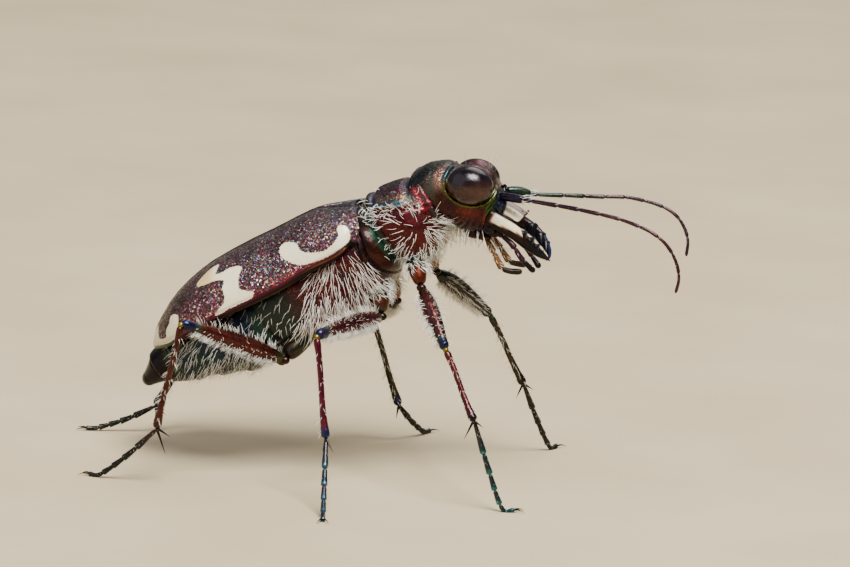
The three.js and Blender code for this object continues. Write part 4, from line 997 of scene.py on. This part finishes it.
def jaw(name, side):
    """A sickle-shaped mandible: ivory at its base, blue-black and toothed beyond, with a painted blue sheen
    along its upper side.
    """
    far = side > 0
    line = HEAD.out(smooth_line(JAWS[name], 70))
    t = np.linspace(0, 1, 70)
    wide = along((0, 0.16), (0.3, 0.15), (0.6, 0.11), (0.85, 0.07), (1, 0.012))(t)
    high = along((0, 0.27), (0.25, 0.26), (0.45, 0.23), (0.65, 0.19), (0.85, 0.12), (1, 0.012))(t)
    angle = circle(28, 0.5)
    outward, level = -side * np.cos(angle), np.sin(angle)
    t = t[:, None]
    lowest = -0.4 + 1.3 * t + 0.5 * step(t, 0.44, 0.56)
    highest = 0.9 - 0.25 * step(t, 0.38, 0.54)
    patch = step(outward, 0, 0.2) * step(t, 0.56, 0.52) * step(t, 0.04, 0.08)
    patch = patch * step(level, lowest - 0.08, lowest + 0.08) * step(level, highest + 0.06, highest - 0.06)
    tint = paint(
        # Painted sheen: the upper side is bluer.
        mix("0b0a10", "171d38", step(level, 0.3, 0.95) + 0 * t),
        ("1a0b08", step(t, 0.7, 0.5) * 0.8),
        ("e4d8b8", patch),
        ("6a3614", np.clip(patch * (1 - patch) * 4, 0, 1) * 0.9),
    )
    shape = Shape()
    flat = high * (0.85 if far else 1) / wide
    tube(shape, line, wide, tint, sides=28, flat=flat, up=HEAD.way((0, 0, 1)))
    for share, long, thick in [(0.46, 0.4, 0.26), (0.58, 0.42, 0.22), (0.7, 0.34, 0.17), (0.81, 0.22, 0.11)]:
        k = int(share * 69)
        ahead = unit(line[k + 2] - line[k - 2])
        inward = unit(HEAD.way((-0.1, -0.75, -0.5) if far else (0, 0.55, 0.8)) + 0.4 * ahead)
        spike(shape, line[k], line[k] + long * inward + 0.08 * ahead, thick, "0d0c12", bend=0.04 * ahead)
    shape.make(f"jaw_{name}", "mouth", "mandibles", f"mandible_{name}")


def feeler(shape, line, ends, radius, tint, swell, up, sides=14, waist=0.62, grain=0.0, cap=0.02):
    """A segmented limb; each segment widens to its far end and meets the next in a narrow waist."""
    t = np.linspace(0, 1, len(line))
    start, shaped = 0, np.zeros(len(line))
    for end in ends:
        inside = (t >= start) & (t <= end + TINY)
        share = (t[inside] - start) / (end - start)
        neck, tail = np.clip(share / 0.12, 0, 1), np.sqrt(np.clip((1 - share) / 0.06, 0, 1))
        narrow = (waist + (1 - waist) * neck) * (waist + (1 - waist) * tail if end < 1 else 1)
        shaped[inside] = (0.85 + swell * share**1.5) * narrow
        start = end
    return tube(shape, line, domed(t, radius * shaped, 0.01, cap), tint, sides=sides, up=up, grain=grain)


def palps(name):
    """The outer and the inner palp of one side. Their skins are kept for the coat."""
    outer_size = along((0, 0.09), (0.45, 0.1), (0.7, 0.09), (1, 0.105))
    inner_size = along((0, 0.11), (0.3, 0.105), (0.6, 0.11), (1, 0.1))
    for kind, node, paths, ends, size, code, tip, cast in [
        ("outer", "maxillary", OUTER_PALPS, [0.14, 0.46, 0.72, 1], outer_size, "2e141c", "140c10", "1c0e1c"),
        ("inner", "labial", INNER_PALPS, [0.3, 0.62, 1], inner_size, "7a5530", "120c0b", "463020"),
    ]:
        shape = Shape()
        line = HEAD.out(smooth_line(paths[name], 90))
        t = np.linspace(0, 1, 90)
        shade = mix(code, tip, step(t, ends[-2] - 0.02, ends[-2] + 0.03))
        shade = mix(shade, cast, 0.3 + 0.3 * cloud(line, 0.2, 71))
        up = HEAD.way((0, 1, 0.2))
        head_limbs[kind, name] = feeler(shape, line, ends, size(t), shade, 0.3, up, grain=0.2, cap=0.09)
        shape.make(f"{kind}_palp_{name}", "mouth", "palps", f"{node}_palp_{name}")


def antenna(name):
    """A feeler of eleven segments, darker at its joints."""
    line = HEAD.out(smooth_line(FEELERS[name], 300))
    t = np.linspace(0, 1, 300)
    ends = [0.12, 0.15, 0.27, 0.365, 0.46, 0.55, 0.64, 0.73, 0.82, 0.91, 1]
    size = along((0, 0.13), (0.03, 0.16), (0.1, 0.145), (0.13, 0.1), (0.16, 0.085), (0.35, 0.08),
                 (0.6, 0.068), (1, 0.058))(t)
    near, far = ("1d1638", "34182a", "4a2530"), ("17392f", "1c302a", "43303a")
    base, middle, tip = near if name == "right" else far
    joint = np.max([bump(t, end, 0.006) for end in ends[1:-1]], axis=0)
    shade = paint(base, (middle, step(t, 0.12, 0.2)), (tip, step(t, 0.36, 0.5)), ("1f2a4a", joint * 0.7))
    shape = Shape()
    up = HEAD.way((0, 1, 0))
    head_limbs["feeler", name] = feeler(shape, line, ends, size, shade, 0.22, up, sides=18, grain=0.25)
    nodes = [f"antenna_{part}_{name}" for part in ("scape", "middle", "tip")]
    shape.make(f"feeler_{name}", "limb", "antennae", *nodes)


head_limbs = {}
head_skin = capsule()
upper_lip()
for name, side in SIDES.items():
    eye(name, side)
    jaw(name, side)
    palps(name)
    antenna(name)


# Legs

# The hip, knee, ankle and toe of each leg, in the beetle's own frame, with y out from the middle on either
# side. The coxa's root is in the trunk's frame.
LEGS = {
    "front": {
        "right": ((2.66, 1.4, 6.78), (3.84, 3.1, 5.18), (5.07, 4.0, 3.02), (6.5, 3.7, 0)),
        "left": ((2.66, 1.4, 6.78), (4.22, 3.2, 5.08), (5.37, 4.0, 2.56), (6.3, 5.9, 0)),
        "coxa": (1.05, 0.7, -2.2), "size": 0.33, "hairs": 640,
    },
    "middle": {
        "right": ((1.34, 1.35, 5.7), (-0.32, 4, 5.47), (0.31, 4.9, 2.22), (0.75, 7.2, 0)),
        "left": ((1.34, 1.35, 5.7), (0.0, 3.95, 4.6), (0.98, 4.7, 1.3), (1.75, 6.6, 0)),
        "coxa": (-0.5, 0.6, -2.3), "size": 0.4, "hairs": 1250,
    },
    "hind": {
        "right": ((-1.85, 1.55, 4), (-4.97, 3.6, 5.42), (-5.55, 4.2, 1.9), (-7.9, 3.7, 0)),
        "left": ((-1.85, 1.55, 4.0), (-5.2, 3.5, 4.3), (-7.2, 3.1, 0.95), (-9.5, 2.7, 0)),
        "coxa": (-3.3, 0.4, -2.6), "size": 0.44, "hairs": 540,
    },
}
# The two spurs at the end of each tibia: length, and the share of it forwards and outwards.
SPURS = {
    "front": ((0.72, -0.62, 0.1), (0.42, 0.7, 0.1)),
    "middle": ((0.6, 0.45, 0.3), (0.5, -0.35, -0.3)),
    "hind": ((0.95, 0.5, 0.0), (0.55, 0.85, -0.2)),
}
# Colours of the near legs, pair by pair. The far legs are all alike, painted darker and greener as in shade.
LEG_COLOURS = {
    # Each last colour is a painted highlight for the tarsal joints.
    "front": {"femur": "521c1c", "tibia": "5a161a", "tarsus": "1c3d44", "painted_highlight": "2f8a8a"},
    "middle": {"femur": "521c24", "tibia": "721a30", "tarsus": "243a4a", "painted_highlight": "3a7a9a"},
    "hind": {"femur": "521a0d", "tibia": "50190f", "tarsus": "1c1f1f", "painted_highlight": "2a3a36"},
    "far": {"femur": "2a2820", "tibia": "33301f", "tarsus": "1c2622", "painted_highlight": "2c4038"},
}
FEMUR_SPAN = (0.08, 0.86)


def joints(pair, name):
    """The hip, knee, ankle and toe of a leg."""
    return [np.multiply(place, (1, SIDES[name], 1)) for place in LEGS[pair][name]]


def coxa(pair, name, hip, ahead):
    """The coxa and the trochanter at its end."""
    side = SIDES[name]
    root = TRUNK.out(np.multiply(LEGS[pair]["coxa"], (1, side, 1)))
    line = straight(root - 0.15 * (hip - root), root + 0.93 * (hip - root), 40)
    t = np.linspace(0, 1, 40)
    size = LEGS[pair]["size"] * along((0, 0.95), (0.4, 1), (0.75, 0.85), (0.93, 0.6), (1, 0.3))(t)
    # Painted highlight: a paler band near the coxa's end, weaker on the darker hind coxa.
    base, painted_highlight = ("2c1610", 0.2) if pair == "hind" else ("54200f", 0.7)
    tint = mix(base, "1c3a2a", step(cloud(line, 0.4, 80 + side), -0.3, 0.5))
    tint = mix(tint, "80361a", bump(t, 0.8, 0.12) * painted_highlight)
    shape = Shape()
    skin = tube(shape, line, domed(t, size, 0.04, 0.06), tint, sides=28, flat=0.9, grain=0.1)
    knob(shape, hip - 0.02 * ahead, (0.17, 0.14, 0.14), "2c120c", grain=0.1)
    shape.make(f"hip_{pair}_{name}", "limb", "legs", f"coxa_{pair}_{name}")
    return skin


def femur(pair, name, near, code, hip, knee, ahead, down):
    """The femur with its trochanter's lobe and the metallic knee."""
    line = straight(hip + 0.06 * ahead, knee + 0.02 * ahead, 90)
    t = np.linspace(0, 1, 90)
    line[:, 2] += (0.06 if pair == "middle" else 0.05) * np.sin(t * math.pi)
    size = along((0, 0.13), (0.1, 0.21), (0.32, 0.27), (0.6, 0.235), (0.8, 0.18), (0.9, 0.16),
                 (0.95, 0.165), (1, 0.13))(t)
    # The far legs' darker root, end and knee, and their missing knee bands, are painted shade.
    root, end, bead = ("3a4a1c", "111f4e", "9a8a2a") if near else ("1f3a2c", "182e2c", "2f4a30")
    tint = paint(
        code,
        (root, step(t, 0.14, 0.02)),
        ("4a4420", bump(t, 0.83, 0.03) * 0.7 * near),
        (end, step(t, 0.85, 0.9)),
        ("1d5a5a", bump(t, 0.85, 0.02) * 0.8 * near),
    )
    shape = Shape()
    skin = tube(shape, line, domed(t, size, 0.03, 0.06), tint, sides=28, flat=1.12, grain=0.35, rough=0.02)
    knob(shape, knee + 0.05 * down, (0.1, 0.1, 0.1), bead)
    axes = np.stack([ahead, (0, 1, 0), (0, 0, 1)], 1)
    knob(shape, hip + 0.16 * ahead - (0, 0, 0.1), (0.2, 0.12, 0.12), "4a2414", axes=axes, grain=0.2)
    shape.make(f"thigh_{pair}_{name}", "limb", "legs", f"femur_{pair}_{name}")
    return skin


def tibia(pair, name, near, code, knee, ankle, down):
    """The tibia with its spurs."""
    line = straight(knee + 0.08 * down, ankle - 0.02 * down, 90)
    t = np.linspace(0, 1, 90)
    line[:, 0] += 0.02 * np.sin(t * 2 * math.pi)
    size = along((0, 0.09), (0.05, 0.12), (0.15, 0.105), (0.6, 0.1), (0.85, 0.125), (0.95, 0.15),
                 (1, 0.12))(t)
    tint = mix(code, "1c2f6a" if pair == "middle" else "241318", step(t, 0.86, 0.95))
    # Only the near hind tibia has the brown mottle; the far legs are painted darker as shade, here and in the
    # spurs' colour below.
    if pair == "hind" and near:
        tint = mix(tint, "5a3014", 0.5 + 0.5 * cloud(line, 0.3, 84))
    shape = Shape()
    skin = tube(shape, line, domed(t, size, 0.02, 0.03), tint, sides=20, grain=0.3, rough=0.03)
    foot = ankle - 0.05 * down
    for long, forwards, out in SPURS[pair]:
        way = unit(down * math.sqrt(max(0.1, 1 - forwards**2 - out**2)) + (forwards, out * SIDES[name], 0))
        spike(shape, foot, foot + long * way, 0.05, "2a1414" if near else "20201a", sides=10)
    shape.make(f"shin_{pair}_{name}", "limb", "legs", f"tibia_{pair}_{name}")
    return skin


def tarsus(pair, name, near, codes, ankle, toe):
    """A tarsus of five segments, with bristles at its joints and two claws."""
    reach = toe - ankle
    level = unit(reach * (1, 1, 0))
    across = np.array([level[1], -level[0], 0])
    sole = toe - 0.42 * level
    sole[2] = 0.12
    half_way = (ankle + sole) / 2 - (0, 0, 0.03 * np.linalg.norm(reach))
    end = toe + (0, 0, 0.075)
    last = 169
    line = smooth_line([ankle, half_way, sole, end], last + 1)
    t = np.linspace(0, 1, last + 1)
    ends = [0.32, 0.52, 0.68, 0.82, 1]
    size = along((0, 0.08), (0.3, 0.095), (0.8, 0.085), (1, 0.075))(t)
    joint = np.max([bump(t, share - 0.02, 0.02) for share in ends], axis=0)
    # The far tarsi get less of the brown root: part of the painted shade on the far legs.
    root = step(t, 0.28, 0.1) * (0.5 if near else 0.2)
    # Painted highlight at each tarsal joint.
    tint = paint(codes["tarsus"], (codes["painted_highlight"], joint * 0.8), ("4a3020", root))
    shape = Shape()
    skin = feeler(shape, line, ends, size, tint, 0.42, across, sides=16, waist=0.5, grain=0.25)
    for way in (-across, across):
        tip = end + 0.34 * level + 0.2 * way
        tip[2] = 0.02
        spike(shape, end - 0.04 * level + 0.02 * way, tip, 0.035, "2a120e", bend=(0, 0, 0.12))
        for share in ends[:-1]:
            k = int(share * last)
            tip = line[k] + 0.11 * way + 0.12 * (line[k] - line[k - 4]) / 0.07
            tip[2] -= 0.04 if line[k, 2] > 0.15 else 0
            spike(shape, line[k], tip, 0.02, "1d1412", sides=6)
    shape.make(f"foot_{pair}_{name}", "limb", "tarsi", f"tarsus_{pair}_{name}")
    return skin


def leg(pair, name):
    """The four pieces of a leg. Their skins are handed back."""
    near = name == "right"
    # The far legs take the darker far colours: painted shade.
    codes = LEG_COLOURS[pair if near else "far"]
    hip, knee, ankle, toe = joints(pair, name)
    ahead, down = unit(knee - hip), unit(ankle - knee)
    return (
        coxa(pair, name, hip, ahead),
        femur(pair, name, near, codes["femur"], hip, knee, ahead, down),
        tibia(pair, name, near, codes["tibia"], knee, ankle, down),
        tarsus(pair, name, near, codes, ankle, toe),
    )


leg_skins = {(pair, name): leg(pair, name) for pair in LEGS for name in SIDES}


# Coats of bristle


def neck_coat():
    whorl = (1.89, -1.7)

    def forwards(x, z, start, end):
        return step(x - whorl[0] - 0.6 * (z - whorl[1]), start, end)

    def flank(x, y, z):
        off = np.hypot(x - whorl[0], z - whorl[1])
        inside = (np.abs(y) > 0.55) & (z < neck_ridge(x) - 0.1) & (z > -2.85) & (off > 0.1)
        return inside * ((x < 2.15) | (z < -1.6)) * (0.42 + 0.3 * forwards(x, z, 0, 0.8))

    def radiate(x, y, z):
        return np.stack([x - whorl[0] + 0.03, 0 * x, z - whorl[1] - 0.06], -1)

    def long(x, y, z):
        return 0.46 + 0.28 * forwards(x, z, 0.1, 1)

    def crest(x, y, z):
        off = z - neck_ridge(x)
        return (bump(off, -0.02, 0.11) + 0.08 * bump(off, 0.35, 0.2)) * (x > 0.35) * (x < 2.3)

    def swirl(x, y, z):
        drift = step(cloud(np.stack([x, y, z], -1), 0.3, 7), -0.2, 0.4)
        return np.stack([-0.6 + 0.8 * step(x, 0.9, 2.2), np.sign(y) * 0.3, -0.4 + 0.9 * drift], -1)

    def fringe(x, y, z):
        return step(x, 1.9, 2.3) * (z < -1.6) * (z > -2.7) * (np.abs(y) > 0.3) * 0.7

    def ahead(x, y, z):
        return np.stack([0.5 + 0.7 * (z + 2.6), np.sign(y) * 0.2, -0.9 + 0 * x], -1)

    def rear(x, y, z):
        return bump(x, 0.62, 0.12) * (np.abs(y) > 0.8) * (z < -0.5) * (z > -2.5) * 0.6

    shape = Shape()
    base = (shape, neck_skin, TRUNK)
    grow(*base, flank, 2300, radiate, long, 101, lift=(26, 12), wave=9, radius=0.0084, spread=20)
    grow(*base, crest, 1900, swirl, 0.34, 103, lift=(46, 8), wave=20, radius=0.0085, spread=22)
    grow(*base, fringe, 850, ahead, 0.6, 105, lift=(50, 24), wave=7, radius=0.009, spread=14)
    grow(*base, rear, 900, (-0.8, 0, -0.4), 0.34, 107, lift=(46, 18), wave=16, radius=0.009)
    shape.make("neck_coat", "hair", "hair")


def mid_coat():
    bounds = [(-0.38, -1.2), (-1.5, -1.0), (-2.1, -1.15), (-2.7, -1.7), (-3.15, -2.2), (-3.4, -2.7),
              (-2.3, -3.05), (-0.5, -2.95), (-0.28, -2.0)]

    def patch(x, y, z):
        return step(distance_to(bounds, x, z), 0.12, -0.05) * (np.abs(y) > 0.5)

    def fall(x, y, z):
        return np.stack([0.75 * (x + 0.75) - 0.15, 0 * x, z + 0.4], -1)

    def long(x, y, z):
        return 0.62 + 0.2 * step(z, -1.4, -2.4)

    def low(x, y, z):
        return step(z, -2.7, -2.95) * (x > -4.2) * (x < 0.2) * (np.abs(y) > 0.15) * 0.5

    def front(x, y, z):
        return step(x, 0, 0.2) * (z < -1.9) * (np.abs(y) > 0.4)

    def rear(x, y, z):
        return step(x, -2.9, -3.3) * (x > -4.45) * step(z, -0.6, -0.9) * (z > -2.9) * 0.35

    shape = Shape()
    base = (shape, mid_skin, TRUNK)
    grow(*base, patch, 3200, fall, long, 111, lift=(32, 10), wave=7, radius=0.0086)
    grow(*base, low, 1500, (-0.25, 0, -1), 0.4, 113, lift=(55, 30), wave=10, radius=0.009)
    grow(*base, front, 600, (0.6, 0, -0.7), 0.34, 115, lift=(55, 35), wave=10, radius=0.009)
    grow(*base, rear, 2400, (-1, 0, -0.5), 0.36, 117, lift=(30, 10), wave=8, radius=0.0075, spread=18)
    shape.make("mid_coat", "hair", "hair")


def belly_coat():
    def flank(x, y, z):
        drift = 0.5 + 0.5 * step(cloud(np.stack([x, y, z], -1), 0.6, 8), -0.4, 0.3)
        return step(x, -8.3, -7.4) * (np.abs(y) > 0.5) * step(z, -0.45, -0.9) * drift

    def under(x, y, z):
        return (z < -2.2) * step(x, -7.9, -7.3) * 0.5

    shape = Shape()
    base = (shape, belly_skin, TRUNK)
    grow(*base, flank, 2700, (-0.8, 0, -0.5), 0.44, 121, lift=(34, 14), wave=3, radius=0.0072, spread=10)
    grow(*base, under, 1600, (-0.5, 0, -0.8), 0.3, 123, lift=(58, 36), wave=4, radius=0.0072)
    shape.make("belly_coat", "hair", "hair")


def strew(shape, skin, home, random, span, count, lie, length, seed, **manner):
    """Hairs all round a limb, between two shares of its length."""
    u = random.uniform(*span, count)
    coat(shape, skin, home, (u, random.random(count)), lie, length, seed, **manner)


def head_coat():
    def throat(x, y, z):
        return (z < -1.25) * (x > -0.3) * (x < 1) * (np.abs(y) < 0.75)

    def brow(x, y, z):
        return (z > 0.3) * (np.abs(y) < 1) * (x > -0.6) * (x < 0.8)

    shape = Shape()
    base = (shape, head_skin, HEAD)
    grow(*base, throat, 900, (0.2, 0, -1), 0.62, 131, lift=(80, 60), wave=6, radius=0.014, spread=20)
    grow(*base, brow, 26, (-0.2, 0, 1), 0.85, 133, lift=(75, 60), wave=4, radius=0.008, colour="8f887e")
    for name in SIDES:
        for kind, end, count, long in (("inner", 0.6, 40, 0.26), ("outer", 0.9, 10, 0.14)):
            base = (shape, head_limbs[kind, name], HEAD, np.random.default_rng(135))
            strew(*base, (0.05, end), count, (0.8, 0, -0.6), long, 136, lift=(45, 20), wave=10, radius=0.0075)
        base = (shape, head_limbs["feeler", name], HEAD, np.random.default_rng(137))
        strew(*base, (0.108, 0.122), 14, (1, 0, 0.3), 0.32, 138, lift=(50, 25), wave=8, radius=0.009)
        manner = {"wave": 8, "radius": 0.005, "colour": "a59c90"}
        strew(*base, (0.14, 0.95), 150, (1, 0, 0), 0.07, 139, lift=(40, 20), **manner)
    shape.make("head_coat", "hair", "hair")


def leg_coat(name):
    """Rows of hairs along the femora, and scattered ones all round every part of the legs."""
    lanes = {0.6: 0.16, 0.67: 0.18, 0.74: 0.18, 0.82: 0.15, 0.9: 0.12, 0.22: 0.06, 0.3: 0.05, 0.0: 0.05,
             0.5: 0.05}
    shape = Shape()
    for pair in LEGS:
        hip, knee, ankle, _ = joints(pair, name)
        ahead, down = knee - hip, ankle - knee
        on_coxa, on_femur, on_tibia, on_tarsus = leg_skins[pair, name]
        random = np.random.default_rng(140)
        count = LEGS[pair]["hairs"]
        u = random.uniform(*FEMUR_SPAN, count)
        lane = random.choice(list(lanes), count, p=list(lanes.values()))
        v = (lane + random.normal(0, 0.035 if pair == "middle" else 0.012, count)) % 1
        coat(shape, on_femur, GROUND, (u, v), ahead, 0.29, 141, lift=(70, 44), wave=8, radius=0.0066)
        base, lie = (shape, on_femur, GROUND, random), ahead * 0.3 - (0, 0, 0.2)
        strew(*base, FEMUR_SPAN, 60, lie, 0.42, 142, lift=(70, 50), wave=6, radius=0.0085)
        base, manner = (shape, on_tibia, GROUND, random), {"radius": 0.0075, "colour": "d9d2c2"}
        strew(*base, (0.1, 0.95), 80, down, 0.3, 143, lift=(58, 38), wave=6, **manner)
        base, manner = (shape, on_tarsus, GROUND, random), {"radius": 0.006, "colour": "8f887c"}
        strew(*base, (0.02, 0.9), 70, down, 0.09, 144, lift=(35, 15), wave=6, **manner)
        if pair != "hind":
            base, lie = (shape, on_coxa, TRUNK, random), (0.35 if pair == "front" else 0.1, 0, -1)
            strew(*base, (0.15, 0.7), 260, lie, 0.42, 145, lift=(48, 22), wave=10, radius=0.009)
    shape.make(f"leg_coat_{name}", "hair", "hair")


neck_coat()
mid_coat()
belly_coat()
head_coat()
for name in SIDES:
    leg_coat(name)


# Stage


def floor():
    """A plain pale floor, faintly mottled."""
    mesh = bpy.data.meshes.new("floor")
    size = 1.5
    corners = [(size * x, size * y, 0) for x, y in ((-1, -1), (1, -1), (1, 1), (-1, 1))]
    mesh.from_pydata(corners, [], [(0, 1, 2, 3)])
    n = Nodes("pale_floor")
    n.shade({"Base Color": n.ramp(n.noise(9, 5), [(0.3, "a19275"), (0.7, "ab9d7f")]), "Roughness": 0.9})
    mesh.materials.append(n.material)
    piece = link("floor", mesh)


def orient(piece, place, right, up, back):
    """A piece set at its place, with the ways its own x, y and z point."""
    piece.matrix_world = Matrix([*zip(right, up, back, place), (0, 0, 0, 1)])


def light(name, azimuth, elevation, power, size, colour):
    """A square soft light at 0.3 m, aimed at the beetle. Azimuth 0 is the camera's side, 90 the head's."""
    a, e = math.radians(azimuth), math.radians(elevation)
    back = np.array([math.sin(a) * math.cos(e), -math.cos(a) * math.cos(e), math.sin(e)])
    right = unit(np.cross((0, 0, 1), back))
    data = bpy.data.lights.new(name, "AREA")
    data.energy, data.size, data.color = power, size, colour
    orient(link(name, data), 0.3 * back + (0, 0, 0.006), right, np.cross(back, right), back)


def sky():
    """A dim even light from all round."""
    world = bpy.data.worlds.new("studio")
    bpy.context.scene.world = world
    world.use_nodes = True
    inputs = world.node_tree.nodes["Background"].inputs
    inputs["Color"].default_value = (0.9, 0.88, 0.85, 1)
    inputs["Strength"].default_value = 0.24


def camera():
    """The photograph's view: a long lens 10 degrees round and 12 degrees up, rolled 2.5 degrees."""
    a, e, r = math.radians(10), math.radians(12), math.radians(2.5)
    right = np.array([math.cos(a), math.sin(a), 0])
    up = np.array([-math.sin(a) * math.sin(e), math.cos(a) * math.sin(e), math.cos(e)])
    right, up = math.cos(r) * right + math.sin(r) * up, -math.sin(r) * right + math.cos(r) * up
    back = np.cross(right, up)
    middle = np.array([0, 0, TRUNK_HEIGHT]) + 2.367 * right - 2.67 * up + SHIFT
    data = bpy.data.cameras.new("camera")
    data.lens, data.sensor_width = 300, 36
    data.clip_start, data.clip_end = 0.001, 10
    distance = 28.333 * data.lens / data.sensor_width
    piece = link("camera", data)
    orient(piece, (middle + back * distance) * MM, right, up, back)
    bpy.context.scene.camera = piece


floor()
light("key", 30, 60, 3.0, 0.14, (1.0, 0.97, 0.92))
light("fill", -50, 30, 0.4, 0.35, (0.93, 0.96, 1.0))
light("rim", 165, 50, 0.5, 0.2, (1.0, 0.98, 0.95))
sky()
camera()

low, high = CAD_BOX
